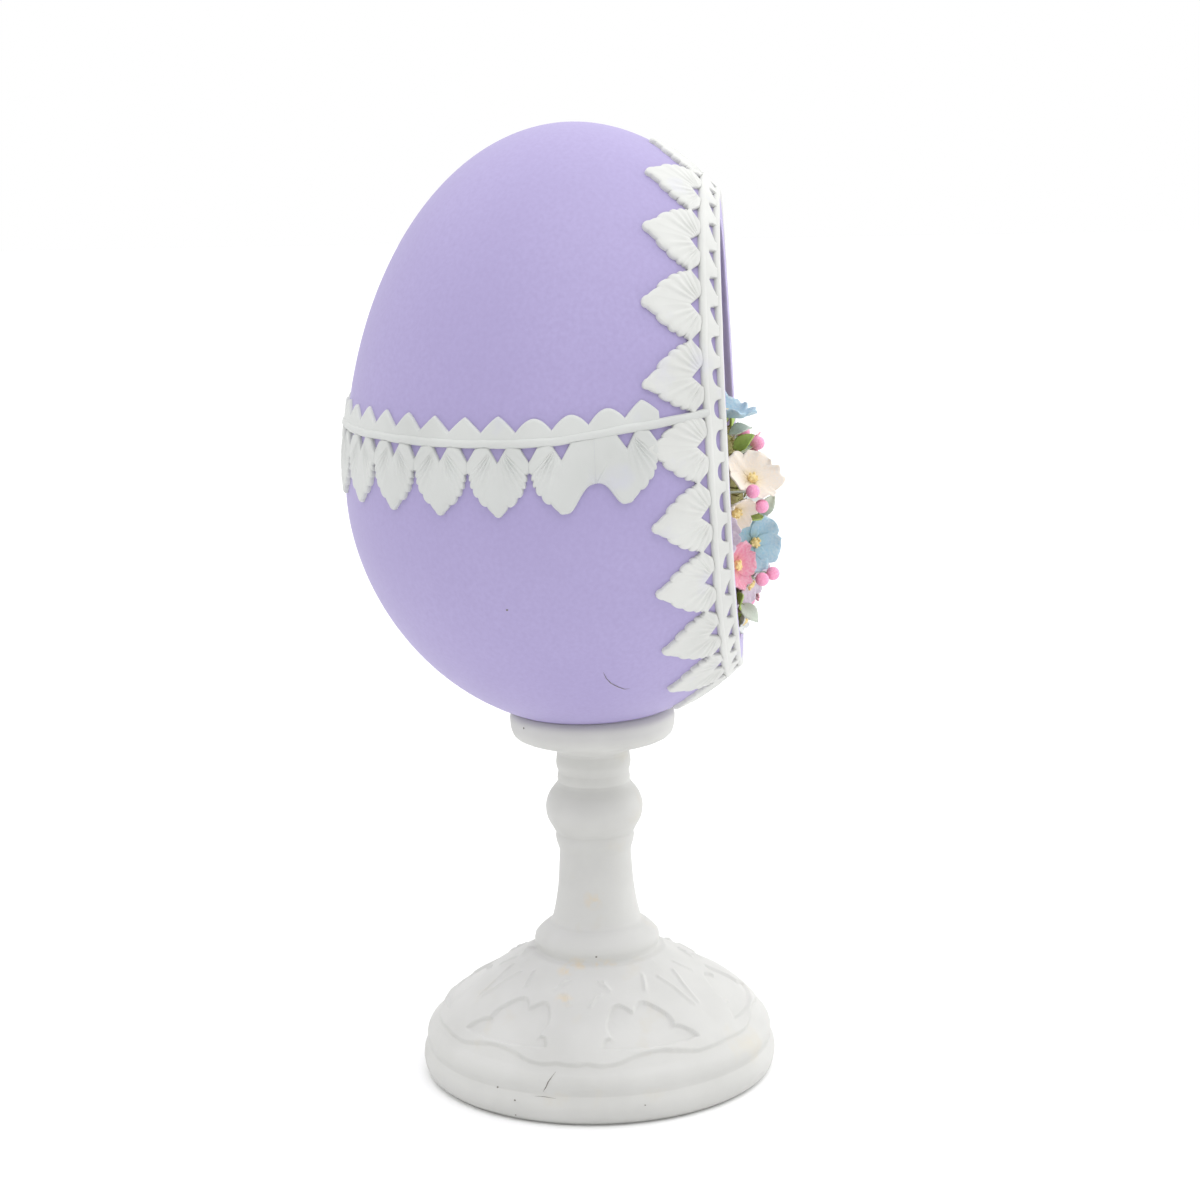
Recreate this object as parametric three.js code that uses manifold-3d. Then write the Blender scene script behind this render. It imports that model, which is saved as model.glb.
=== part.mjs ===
// Panoramic sugar egg ornament: a hollow lavender egg with an open front, trimmed with moulded
// lace, holding a posy of paper flowers and standing on a turned white pedestal.
// Millimetres, +Z up. The origin is the centre of the pedestal's underside; the opening faces -Y.
import * as THREE from "three";
import { mergeVertices } from "three/addons/utils/BufferGeometryUtils.js";
import { TessellateModifier } from "three/addons/modifiers/TessellateModifier.js";
import Module from "manifold-3d";

const wasm = await Module();
wasm.setup();

// ---------------------------------------------------------------- driving dimensions

// Egg, measured from its own bottom point along its own axis.
const EGG_RADIUS = 63.5;
const EGG_WIDEST = 66;
const EGG_LENGTH = 161.6;
const LOWER_FULLNESS = 1.85;
const UPPER_FULLNESS = 1.97;
const EGG_SEAT = 98.4;
const EGG_LEAN = THREE.MathUtils.degToRad(1.05);
const SHELL_WALL = 4;
const TOUCH_GAP = 0.35;
const EGG_RINGS = 20;
const EGG_SIDES = 36;
const INNER_RINGS = 13;
const INNER_SIDES = 26;

// Opening: a flat cut in front of the egg's axis, leaning back a little further than the egg.
const OPENING_REACH = 40.7;
const OPENING_LEAN = THREE.MathUtils.degToRad(1.2);
const OPENING_CENTRE = 80;

// Lace: one pattern, repeated round the opening and round the waist.
const LACE_PITCH = 16.3;
const LACE_THICK = 1.2;
const BAR_THICK = 1.8;
const FAN_HALF = 7.6;
const FAN_SIDE = 6.6;
const FAN_LENGTH = 17.4;
const FAN_LOBES = 3;
const LOBE_SWELL = 0.7;
const NOTCH_TOP = 4.9;
const EYELET_HALF = 2;
const EYELET_DEPTH = 3.9;
const RIM_BAR = 1.9;
const WINDOW_HALF = 2.6;
const WINDOW_DEPTH = 1.9;
const OPENING_BAR = 2.3;
const OPENING_UNITS = 22;
const OPENING_SHIFT = 0.27;
const WAIST_UNITS = 15;
const WAIST_SHIFT = 2;
const WAIST_BAR = 2;
const TEETH = 26;
const TOOTH = 4.1;
const WAIST_HEIGHT = 88.7;
const WAIST_RISE = THREE.MathUtils.degToRad(3.4);
const LACE_EDGE = 18;
const LACE_GAP = 0.55;

// Pedestal: radii and heights of its turned mouldings.
const PLINTH = { foot: 46.8, belly: 50.6, top: 47.9, height: 8.2 };
const STEP = { foot: 47.3, belly: 48.3, top: 45.4, low: 8.6, high: 14.8 };
const DOME = { shoulder: [40.5, 20.5], waist: [26, 28.5], top: [17, 34.2] };
const COLLAR = { low: 34.5, high: 41.4, foot: 15.8, belly: 19.8, top: 13.2 };
const SHAFT = { foot: 12.6, waist: 10.2, top: 9.85, bend: 48, high: 62.4 };
const BALL = { low: 67.3, high: 80.8, foot: 10.6, belly: 14.4, top: 10 };
const DISH = { foot: 10, radius: 22.5, low: 91, side: 97.8, high: 101.9, lip: 1 };
const PEDESTAL_SIDES = 21;

// Posy: paper flowers on a mossy bed that fills the lower half of the egg, blunt above and below.
const MOUND = { centre: [0, 4, 153], radii: [60, 47, 38] };
const PETALS = 5;
const PAPER = 0.7;
const BERRY_RADIUS = 1.8;
const WIRE_RADIUS = 0.45;
const STALK_TOP = 1.2;
const STALK_ROOT = 0.95;
const LEAF_WIDTH = 4;

// ---------------------------------------------------------------- materials

function finish(color, roughness = 0.75) {
  return new THREE.MeshStandardMaterial({ color, roughness, metalness: 0 });
}
const LAVENDER = finish(0xb7aad6, 0.5);
const WHITE = finish(0xe6e6e4, 0.7);
const MOSS = finish(0x8a8a55, 1);
const PAPERS = {
  blue: finish(0xa5c6d8),
  cream: finish(0xecdfcb),
  pink: finish(0xe79fb4),
  mauve: finish(0xc9b4cc),
  white: finish(0xe9ebe4),
};
const BERRY = finish(0xf09cbe, 0.6);
const LEAF = finish(0xa9c86c);
const PALE_LEAF = finish(0xdfe6da);

// ---------------------------------------------------------------- solids

function asSolid(geometry) {
  const bare = geometry.clone();
  for (const name of Object.keys(bare.attributes)) {
    if (name !== "position") bare.deleteAttribute(name);
  }
  const merged = mergeVertices(bare, 1e-4);
  return new wasm.Manifold(new wasm.Mesh({
    numProp: 3,
    vertProperties: new Float32Array(merged.attributes.position.array),
    triVerts: new Uint32Array(merged.index.array),
  }));
}

function asGeometry(solid) {
  const mesh = solid.getMesh();
  const geometry = new THREE.BufferGeometry();
  geometry.setAttribute("position", new THREE.BufferAttribute(mesh.vertProperties, 3));
  geometry.setIndex(new THREE.BufferAttribute(mesh.triVerts, 1));
  geometry.computeVertexNormals();
  return geometry;
}

// A closed profile of [radius, height] points, turned about Z.
function turned(profile, sides) {
  const points = profile.map(([radius, height]) => new THREE.Vector2(radius, height));
  return new THREE.LatheGeometry(points, sides).rotateX(Math.PI / 2);
}

function named(name, geometry, material) {
  const mesh = new THREE.Mesh(geometry, material);
  mesh.name = name;
  return mesh;
}

// ---------------------------------------------------------------- egg surface

function eggRadius(height) {
  const above = height - EGG_WIDEST;
  const reach = above < 0 ? EGG_WIDEST : EGG_LENGTH - EGG_WIDEST;
  const fullness = above < 0 ? LOWER_FULLNESS : UPPER_FULLNESS;
  const share = Math.min(1, Math.abs(above) / reach);
  return EGG_RADIUS * Math.sqrt(1 - share ** fullness);
}

// The egg's profile moved out by a distance, from its bottom point to its top point.
function eggProfile(rings, outward) {
  const profile = [[0, -outward]];
  for (let i = 1; i < rings; i++) {
    const height = (EGG_LENGTH * (1 - Math.cos((Math.PI * i) / rings))) / 2;
    const slope = eggRadius(height + 0.05) - eggRadius(height - 0.05);
    const length = Math.hypot(slope, 0.1);
    profile.push([eggRadius(height) + (outward * 0.1) / length, height - (outward * slope) / length]);
  }
  profile.push([0, EGG_LENGTH + outward]);
  return profile;
}

const eggFrame = new THREE.Matrix4()
  .makeTranslation(0, 0, EGG_SEAT)
  .multiply(new THREE.Matrix4().makeRotationX(-EGG_LEAN));

// A box whose back face is the opening's flat cut, moved back by a distance.
function frontOf(back) {
  const size = 3 * EGG_LENGTH;
  const box = new THREE.BoxGeometry(size, size, size);
  box.translate(0, -size / 2 - OPENING_REACH + back, 0);
  box.rotateX(-OPENING_LEAN);
  return asSolid(box.translate(0, 0, EGG_WIDEST));
}

// Where a ray from inside the egg meets its outside.
function eggSurface(direction) {
  const origin = new THREE.Vector3(0, 0, OPENING_CENTRE);
  let near = 0;
  let far = EGG_LENGTH;
  for (let i = 0; i < 40; i++) {
    const middle = (near + far) / 2;
    const point = origin.clone().addScaledVector(direction, middle);
    const inside = point.z > 0 && point.z < EGG_LENGTH && Math.hypot(point.x, point.y) < eggRadius(point.z);
    if (inside) near = middle;
    else far = middle;
  }
  return origin.addScaledVector(direction, near);
}

function eggNormal(point) {
  const slope = (eggRadius(point.z + 0.05) - eggRadius(point.z - 0.05)) / 0.1;
  const radius = Math.hypot(point.x, point.y);
  return new THREE.Vector3(point.x / radius, point.y / radius, -slope).normalize();
}

// ---------------------------------------------------------------- lace round the opening

// A surface point at an angle round the opening and an angle back from its middle.
function backFrom(turn, back) {
  return eggSurface(new THREE.Vector3(
    Math.cos(turn) * Math.sin(back),
    -Math.cos(back),
    Math.sin(turn) * Math.sin(back),
  ));
}

function inFrontOfCut(point) {
  const across = -point.y * Math.cos(OPENING_LEAN) + (point.z - EGG_WIDEST) * Math.sin(OPENING_LEAN);
  return across > OPENING_REACH;
}

// The line over the shell from the rim backwards, at one angle round the opening.
const rimLines = new Map();
function rimLine(turn) {
  const key = turn.toFixed(6);
  if (rimLines.has(key)) return rimLines.get(key);
  let front = 0.1;
  let behind = Math.PI / 2;
  for (let i = 0; i < 30; i++) {
    const middle = (front + behind) / 2;
    if (inFrontOfCut(backFrom(turn, middle))) front = middle;
    else behind = middle;
  }
  const line = [{ point: backFrom(turn, behind), length: 0 }];
  const step = 0.02;
  for (let i = 1; i <= 40; i++) {
    const point = backFrom(turn, behind + i * step);
    line.push({ point, length: line[i - 1].length + point.distanceTo(line[i - 1].point) });
  }
  rimLines.set(key, line);
  return line;
}

function rimPoint(turn, distance) {
  const line = rimLine(turn);
  const next = Math.max(1, line.findIndex((mark) => mark.length > distance));
  const from = line[next - 1];
  const to = line[next];
  return from.point.clone().lerp(to.point, (distance - from.length) / (to.length - from.length));
}

// Even spacing along the rim: turns for equal shares of its length, counted from the top.
const RIM_STEPS = 720;
const rimMarks = [{ turn: Math.PI / 2, length: 0 }];
for (let i = 1; i <= RIM_STEPS; i++) {
  const turn = Math.PI / 2 + (2 * Math.PI * i) / RIM_STEPS;
  const gap = rimPoint(turn, 0).distanceTo(rimPoint(rimMarks[i - 1].turn, 0));
  rimMarks.push({ turn, length: rimMarks[i - 1].length + gap });
}
function turnAtShare(share) {
  const wanted = (((share % 1) + 1) % 1) * rimMarks[RIM_STEPS].length;
  const next = Math.max(1, rimMarks.findIndex((mark) => mark.length > wanted));
  const from = rimMarks[next - 1];
  const to = rimMarks[next];
  return from.turn + ((to.turn - from.turn) * (wanted - from.length)) / (to.length - from.length);
}

function onOpening(share, distance, lift) {
  const point = rimPoint(turnAtShare(share), distance);
  return point.addScaledVector(eggNormal(point), lift);
}

// ---------------------------------------------------------------- lace round the waist

// Distance along the egg's side from its bottom point, by height.
const sideMarks = [{ height: 0, length: 0 }];
for (let i = 1; i <= 800; i++) {
  const height = (EGG_LENGTH * i) / 800;
  const last = sideMarks[i - 1];
  const run = Math.hypot(height - last.height, eggRadius(height) - eggRadius(last.height));
  sideMarks.push({ height, length: last.length + run });
}
function lookUp(marks, from, to, value) {
  const next = Math.min(marks.length - 1, Math.max(1, marks.findIndex((mark) => mark[from] > value)));
  const share = (value - marks[next - 1][from]) / (marks[next][from] - marks[next - 1][from]);
  return marks[next - 1][to] + share * (marks[next][to] - marks[next - 1][to]);
}

// A point on the shell: along the waist from the middle of the back, then down its side.
function onWaist(along, down, lift) {
  const turn = Math.PI / 2 + (along + WAIST_SHIFT) / EGG_RADIUS;
  const level = WAIST_HEIGHT - EGG_RADIUS * Math.sin(turn) * Math.tan(WAIST_RISE);
  const length = lookUp(sideMarks, "height", "length", level) - down;
  const height = lookUp(sideMarks, "length", "height", length);
  const radius = eggRadius(height);
  const point = new THREE.Vector3(radius * Math.cos(turn), radius * Math.sin(turn), height);
  return point.addScaledVector(eggNormal(point), lift);
}

// ---------------------------------------------------------------- lace pattern

// One scalloped fan from its left side to the notch at its right, as [along, depth below its bar].
function fanEdge() {
  const side = [];
  for (let lobe = 0; lobe < FAN_LOBES; lobe++) {
    for (const [part, swell] of [[0, 0], [0.55, LOBE_SWELL]]) {
      const share = (lobe + part) / (FAN_LOBES + 0.4);
      const width = FAN_HALF * (1 - share ** 1.5);
      side.push([width + swell * 0.6, FAN_SIDE + share * (FAN_LENGTH - FAN_SIDE) + swell * 0.7]);
    }
  }
  const right = [...side, [1.3, FAN_LENGTH - 0.35]];
  const left = right.map(([along, depth]) => [-along, depth]);
  return [...left, [0, FAN_LENGTH], ...right.reverse(), [LACE_PITCH / 2, NOTCH_TOP]];
}

// The eyelet triangles at a fan's middle and at its right side.
function eyelets(at, bar) {
  return [0, LACE_PITCH / 2].map((shift) => [
    [at + shift - EYELET_HALF, bar],
    [at + shift + EYELET_HALF, bar],
    [at + shift, bar + EYELET_DEPTH],
  ]);
}

function outline(points, Kind = THREE.Shape) {
  return new Kind(points.map(([x, y]) => new THREE.Vector2(x, y)));
}

// Lace is drawn flat as a ring or a part of one: [along, depth] to a flat place and back.
const drawn = (ring) => ([along, depth]) => {
  const turn = along / ring;
  return [(ring + depth) * Math.cos(turn), (ring + depth) * Math.sin(turn)];
};

// Extrudes a flat outline and lays it over the egg; place(along, depth, top) gives each place.
function laid(shape, ring, place) {
  const flat = new THREE.ExtrudeGeometry(shape, { depth: 1, bevelEnabled: false });
  const fine = new TessellateModifier(LACE_EDGE, 30).modify(flat);
  const position = fine.getAttribute("position");
  for (let i = 0; i < position.count; i++) {
    const [x, y] = [position.getX(i), position.getY(i)];
    const along = ring * Math.atan2(y, x);
    const point = place(along, Math.hypot(x, y) - ring, position.getZ(i) > 0.5);
    position.setXYZ(i, point.x, point.y, point.z);
  }
  return asSolid(fine);
}

const FAN_START = RIM_BAR + WINDOW_DEPTH + OPENING_BAR;
const BAND_RADIUS = (OPENING_UNITS * LACE_PITCH) / (2 * Math.PI);

// The opening's lace is a whole ring, laid over the egg from the rim backwards.
function openingLace() {
  const flat = drawn(BAND_RADIUS);
  const edge = [];
  const rim = [];
  const holes = [];
  for (let unit = 0; unit < OPENING_UNITS; unit++) {
    const at = (unit + OPENING_SHIFT) * LACE_PITCH;
    edge.push(...fanEdge().map(([along, depth]) => flat([at + along, FAN_START + depth])));
    rim.push(flat([at - LACE_PITCH / 4, 0]), flat([at + LACE_PITCH / 4, 0]));
    holes.push(...eyelets(at, FAN_START).map((hole) => hole.map(flat)));
    for (const side of [-1, 1]) {
      const middle = at + (side * LACE_PITCH) / 4;
      holes.push([
        [middle - WINDOW_HALF, RIM_BAR],
        [middle + WINDOW_HALF, RIM_BAR],
        [middle + 0.6 * side, RIM_BAR + WINDOW_DEPTH],
      ].map(flat));
    }
  }
  const shape = outline(edge);
  shape.holes = [rim, ...holes].map((hole) => outline(hole, THREE.Path));
  return laid(shape, BAND_RADIUS, (along, depth, top) => {
    const share = along / (OPENING_UNITS * LACE_PITCH);
    const thick = depth < FAN_START + 0.1 ? BAR_THICK : LACE_THICK;
    return onOpening(share, Math.max(0.15, depth), LACE_GAP + (top ? thick : 0));
  });
}

const WAIST_HALF = (WAIST_UNITS * LACE_PITCH) / 2;
const BAR_RUN = 26;
const WAIST_RING = 300;
const BAR_SHARE = 0.22;

function waistLace() {
  const edge = [];
  const holes = [];
  for (let unit = 0; unit < WAIST_UNITS; unit++) {
    const at = -WAIST_HALF + (unit + 0.5) * LACE_PITCH;
    edge.push(...fanEdge().map(([along, depth]) => [at + along, WAIST_BAR + depth]));
    holes.push(...eyelets(at, WAIST_BAR).slice(0, unit < WAIST_UNITS - 1 ? 2 : 1));
  }
  edge.pop();
  edge.push([WAIST_HALF, WAIST_BAR + 2], [WAIST_HALF, WAIST_BAR]);
  edge.push([WAIST_HALF + BAR_RUN, WAIST_BAR], [WAIST_HALF + BAR_RUN, 0]);
  const toothPitch = (2 * WAIST_HALF) / TEETH;
  for (let tooth = TEETH; tooth > 0; tooth--) {
    const at = -WAIST_HALF + tooth * toothPitch;
    edge.push([at - 0.3, 0], [at - toothPitch / 2, -TOOTH], [at - toothPitch + 0.3, 0]);
  }
  edge.push([-WAIST_HALF - BAR_RUN, 0], [-WAIST_HALF - BAR_RUN, WAIST_BAR]);
  edge.push([-WAIST_HALF, WAIST_BAR], [-WAIST_HALF, WAIST_BAR + 2]);
  const flat = drawn(WAIST_RING);
  const shape = outline(edge.map(flat));
  shape.holes = holes.map((hole) => outline(hole.map(flat), THREE.Path));
  return laid(shape, WAIST_RING, (along, depth, top) => {
    const thick = depth > -0.1 && depth < WAIST_BAR + 0.1 ? BAR_THICK : LACE_THICK;
    return onWaist(along, depth, LACE_GAP + (top ? thick : 0));
  });
}

// The strip of shell that the waist lace needs, cut out of the opening's fans at both ends.
function waistClearance(side) {
  const inner = (WAIST_HALF - FAN_HALF) * side;
  const outer = (WAIST_HALF + BAR_RUN) * side;
  const fan = (WAIST_HALF + TOUCH_GAP) * side;
  const shape = outline([
    [inner, -TOUCH_GAP],
    [outer, -TOUCH_GAP],
    [outer, WAIST_BAR + TOUCH_GAP],
    [fan, WAIST_BAR + TOUCH_GAP],
    [fan, WAIST_BAR + FAN_LENGTH],
    [inner, WAIST_BAR + FAN_LENGTH],
  ].map(drawn(WAIST_RING)));
  return laid(shape, WAIST_RING, (along, depth, top) => onWaist(along, depth, top ? 4 : -1));
}

// ---------------------------------------------------------------- pedestal

function pedestalProfile() {
  const path = new THREE.Path();
  path.moveTo(0, 0);
  path.lineTo(PLINTH.foot, 0);
  path.quadraticCurveTo(PLINTH.belly, 3.5, PLINTH.top, PLINTH.height);
  path.lineTo(STEP.foot, STEP.low);
  path.quadraticCurveTo(STEP.belly, 12.5, STEP.top, STEP.high);
  path.bezierCurveTo(...DOME.shoulder, ...DOME.waist, ...DOME.top);
  path.lineTo(COLLAR.foot, COLLAR.low);
  path.quadraticCurveTo(COLLAR.belly, 37, COLLAR.top, COLLAR.high);
  path.lineTo(SHAFT.foot, COLLAR.high + 0.3);
  path.quadraticCurveTo(SHAFT.waist, SHAFT.bend, SHAFT.top, SHAFT.high);
  path.quadraticCurveTo(SHAFT.top + 1.9, 64.9, BALL.foot - 0.2, BALL.low - 0.4);
  path.lineTo(BALL.foot, BALL.low);
  path.bezierCurveTo(BALL.belly, 70.2, BALL.belly, 78.6, BALL.top, BALL.high);
  for (const [low, high, swell] of [[81.2, 84.2, 0.5], [84.8, 90.2, 0.9]]) {
    path.lineTo(DISH.foot - 0.3, low);
    path.quadraticCurveTo(DISH.foot + 2 * swell - 0.3, (low + high) / 2, DISH.foot - 0.3, high);
  }
  path.lineTo(DISH.foot, DISH.low);
  path.quadraticCurveTo(DISH.radius - 1, 93, DISH.radius, DISH.side);
  path.lineTo(DISH.radius, DISH.high - DISH.lip);
  path.quadraticCurveTo(DISH.radius, DISH.high, DISH.radius - DISH.lip, DISH.high);
  path.lineTo(0, DISH.high);
  return path.getPoints(3).map((point) => [point.x, point.y]);
}

function pedestal() {
  const seat = asSolid(turned(eggProfile(EGG_RINGS, TOUCH_GAP), EGG_SIDES).applyMatrix4(eggFrame));
  return asSolid(turned(pedestalProfile(), PEDESTAL_SIDES)).subtract(seat);
}

// ---------------------------------------------------------------- egg shell

function eggShell() {
  const outside = asSolid(turned(eggProfile(EGG_RINGS, 0), EGG_SIDES));
  const inside = asSolid(turned(eggProfile(INNER_RINGS, -SHELL_WALL), INNER_SIDES));
  return outside.subtract(inside).subtract(frontOf(0));
}

// ---------------------------------------------------------------- posy

const moundCentre = new THREE.Vector3(...MOUND.centre);
const moundRadii = new THREE.Vector3(...MOUND.radii);

// A knobbly mound, blunt above and below and kept clear of the shell's inside.
function mossMound() {
  const geometry = new THREE.SphereGeometry(1, 13, 9);
  const position = geometry.getAttribute("position");
  for (let i = 0; i < position.count; i++) {
    const point = new THREE.Vector3().fromBufferAttribute(position, i);
    point.z = Math.sign(point.z) * Math.sqrt(Math.abs(point.z));
    const knobs = Math.sin(9 * point.x + 2 * point.z) * Math.sin(11 * point.y + 5 * point.z);
    point.multiplyScalar(0.99 - 0.01 * knobs).multiply(moundRadii).add(moundCentre);
    position.setXYZ(i, point.x, point.y, point.z);
  }
  const hollow = turned(eggProfile(INNER_RINGS, -SHELL_WALL - TOUCH_GAP), INNER_SIDES);
  return asSolid(geometry).intersect(asSolid(hollow.applyMatrix4(eggFrame)));
}

// The outward direction of the mound's front at a place across and up.
function moundNormal(x, z) {
  const across = (x - moundCentre.x) / moundRadii.x;
  const up = (z - moundCentre.z) / moundRadii.z;
  const out = Math.sqrt(Math.max(0.02, 1 - across ** 2 - up ** 4));
  const slope = [across / moundRadii.x, -out / moundRadii.y, (2 * up ** 3) / moundRadii.z];
  return new THREE.Vector3(...slope).normalize();
}

// A closed sheet between rings of points: the rings of its top face, then the same rings lowered.
function cupOf(rings, spokes, topAt, bottomAt) {
  const vertices = [];
  const triangles = [];
  const corner = (face, ring, spoke) => (
    face * (1 + rings * spokes) + (ring === 0 ? 0 : 1 + (ring - 1) * spokes + (spoke % spokes))
  );
  for (const at of [topAt, bottomAt]) {
    vertices.push(...at(0, 0));
    for (let ring = 1; ring <= rings; ring++) {
      for (let spoke = 0; spoke < spokes; spoke++) vertices.push(...at(ring / rings, spoke));
    }
  }
  for (let spoke = 0; spoke < spokes; spoke++) {
    triangles.push(corner(0, 0, 0), corner(0, 1, spoke), corner(0, 1, spoke + 1));
    triangles.push(corner(1, 0, 0), corner(1, 1, spoke + 1), corner(1, 1, spoke));
    for (let ring = 1; ring < rings; ring++) {
      const [a, b] = [corner(0, ring, spoke), corner(0, ring, spoke + 1)];
      const [c, d] = [corner(0, ring + 1, spoke), corner(0, ring + 1, spoke + 1)];
      const [e, f] = [corner(1, ring, spoke), corner(1, ring, spoke + 1)];
      const [g, h] = [corner(1, ring + 1, spoke), corner(1, ring + 1, spoke + 1)];
      triangles.push(a, c, d, a, d, b, e, h, g, e, f, h);
    }
    const [a, b] = [corner(0, rings, spoke), corner(0, rings, spoke + 1)];
    const [c, d] = [corner(1, rings, spoke), corner(1, rings, spoke + 1)];
    triangles.push(a, c, d, a, d, b);
  }
  const geometry = new THREE.BufferGeometry();
  geometry.setAttribute("position", new THREE.Float32BufferAttribute(vertices, 3));
  geometry.setIndex(triangles);
  geometry.computeVertexNormals();
  return geometry;
}

// A cupped five-petalled flower with a raised middle, opening along +Z from its own origin.
function flowerGeometry(radius, cup) {
  const reach = [0.72, 1, 1];
  const spokes = PETALS * reach.length;
  const at = (lift) => (out, spoke) => {
    const turn = (2 * Math.PI * spoke) / spokes;
    const edge = reach[spoke % reach.length];
    const length = radius * out * (out < 1 ? 0.8 + 0.2 * edge : edge);
    const wave = out * (spoke % reach.length === 0 ? 0 : 0.5);
    const rise = cup * out ** 1.4 + wave + (out === 0 ? 0.6 : 0);
    return [length * Math.cos(turn), length * Math.sin(turn), rise + lift];
  };
  return cupOf(2, spokes, at(PAPER), at(0));
}

// A pointed leaf along +X with a folded middle and waved edges.
function leafGeometry(length, width) {
  const blade = new THREE.Shape();
  blade.moveTo(0, 0);
  const half = (i) => (width / 2) * Math.sin((Math.PI * i) / 5) ** 0.8;
  for (let i = 1; i < 5; i++) blade.lineTo((length * i) / 5, -half(i));
  blade.lineTo(length, 0);
  for (let i = 4; i > 0; i--) blade.lineTo((length * i) / 5, half(i));
  const geometry = new THREE.ExtrudeGeometry(blade, { depth: PAPER, bevelEnabled: false });
  const position = geometry.getAttribute("position");
  for (let i = 0; i < position.count; i++) {
    const x = position.getX(i);
    const y = position.getY(i);
    const rise = 0.35 * Math.abs(y) + 0.6 * Math.sin((3 * x) / length) + 0.25 * Math.sin(1.7 * x);
    position.setZ(i, position.getZ(i) + rise);
  }
  return geometry;
}

// A round berry on a wire that runs back along -Z.
function berryGeometry(stalk) {
  const ball = new THREE.SphereGeometry(BERRY_RADIUS, 8, 4);
  const wire = new THREE.CylinderGeometry(WIRE_RADIUS, WIRE_RADIUS, stalk, 4).rotateX(Math.PI / 2);
  return asGeometry(asSolid(ball).add(asSolid(wire.translate(0, 0, -stalk / 2))));
}

// How far a point may run in a direction before it comes within the gap of the mound.
function runToMound(point, direction) {
  let run = 0;
  for (; run < 20; run += 0.1) {
    const ahead = point.clone().addScaledVector(direction, run + 2 * TOUCH_GAP);
    const share = ahead.sub(moundCentre).divide(moundRadii);
    if (share.x ** 2 + share.y ** 2 + share.z ** 4 < 1) break;
  }
  return run;
}

// A direction by degrees round from straight ahead, towards -X, and degrees up.
function looking(round, up) {
  const [turn, tilt] = [THREE.MathUtils.degToRad(round), THREE.MathUtils.degToRad(up)];
  return new THREE.Vector3(
    -Math.sin(turn) * Math.cos(tilt),
    -Math.cos(turn) * Math.cos(tilt),
    Math.sin(tilt),
  );
}

// A flower on a tapered stalk that leans back into the mound.
function flower(name, colour, [place, round, up, radius, cup, spin]) {
  const heart = new THREE.Vector3(...place);
  const facing = looking(round, up);
  const ahead = new THREE.Vector3(0, 0, 1);
  const spun = new THREE.Quaternion().setFromAxisAngle(ahead, THREE.MathUtils.degToRad(spin));
  const turn = new THREE.Quaternion().setFromUnitVectors(ahead, facing).multiply(spun);
  const back = moundNormal(heart.x, heart.z).add(facing).normalize().negate();
  const run = runToMound(heart, back) + STALK_ROOT;
  const stalk = new THREE.CylinderGeometry(STALK_TOP, WIRE_RADIUS, run, 3).rotateX(-Math.PI / 2);
  stalk.translate(0, 0, run / 2 - STALK_ROOT);
  const local = back.applyQuaternion(turn.clone().invert());
  stalk.applyQuaternion(new THREE.Quaternion().setFromUnitVectors(ahead, local));
  const whole = asSolid(flowerGeometry(radius, cup)).add(asSolid(stalk));
  const mesh = named(name, asGeometry(whole), PAPERS[colour]);
  mesh.position.copy(heart);
  mesh.quaternion.copy(turn);
  return mesh;
}

function berry(name, place) {
  const middle = new THREE.Vector3(...place);
  const normal = moundNormal(middle.x, middle.z);
  const mesh = named(name, berryGeometry(runToMound(middle, normal.clone().negate())), BERRY);
  mesh.position.copy(middle);
  mesh.quaternion.setFromUnitVectors(new THREE.Vector3(0, 0, 1), normal);
  return mesh;
}

// A leaf from its foot to its tip, its blade turned to face a direction as far as that allows.
function leaf(name, [material, foot, tip, round, up]) {
  const along = new THREE.Vector3(...tip).sub(new THREE.Vector3(...foot));
  const mesh = named(name, leafGeometry(along.length(), LEAF_WIDTH), material);
  along.normalize();
  const facing = looking(round, up);
  facing.addScaledVector(along, -facing.dot(along)).normalize();
  const side = facing.clone().cross(along);
  mesh.position.set(...foot);
  mesh.quaternion.setFromRotationMatrix(new THREE.Matrix4().makeBasis(along, side, facing));
  return mesh;
}

// Flowers: colour, then the heart's place, degrees round and up, radius, cup depth and spin.
const FLOWERS = [
  ["blue", [-16, -37.6, 183.4], 12, 72, 7.2, 4.2, 20],
  ["cream", [-20, -44.1, 167.1], 56, 44, 8.1, 4, 35],
  ["cream", [-27.5, -39.8, 160.8], 50, -25, 5.4, 3.4, 10],
  ["mauve", [-36, -35.8, 156], 55, 0, 5.6, 2.6, 15],
  ["blue", [-17, -44.4, 150.4], 59, 8, 7.6, 2.8, 25],
  ["white", [-8, -42.8, 157], 25, 30, 6.6, 3, 30],
  ["pink", [-26.5, -39.6, 146.3], 36, 0, 6.4, 3, 0],
  ["mauve", [-10, -42.6, 138.8], 25, -32, 7.2, 3, 15],
  ["white", [-9.5, -40.8, 129], 15, -30, 4.2, 2.2, 44],
  ["white", [-38, -32.6, 168.5], 45, 10, 6, 2.6, 30],
  ["blue", [2, -35.5, 185.5], 0, 55, 7.6, 3, 50],
  ["pink", [2.5, -43.3, 168.8], 0, 5, 7.8, 3.2, 0],
  ["cream", [7.5, -43.8, 152.8], 0, 0, 7.6, 3, 40],
  ["pink", [5, -43.2, 138], 0, -5, 7.2, 3.2, 33],
  ["mauve", [6.8, -38.2, 126.5], 0, -38, 5.5, 2.4, 58],
  ["white", [18, -34.6, 182.6], -15, 45, 7.2, 3, 10],
  ["blue", [18.5, -41.5, 167], -18, 8, 7.6, 3, 60],
  ["mauve", [34.5, -35.4, 167], -40, 5, 7, 2.8, 5],
  ["cream", [25, -39.9, 151.5], -28, 0, 7.8, 3, 50],
  ["blue", [20.5, -40.7, 137], -22, -5, 7.2, 3, 12],
];

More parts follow.
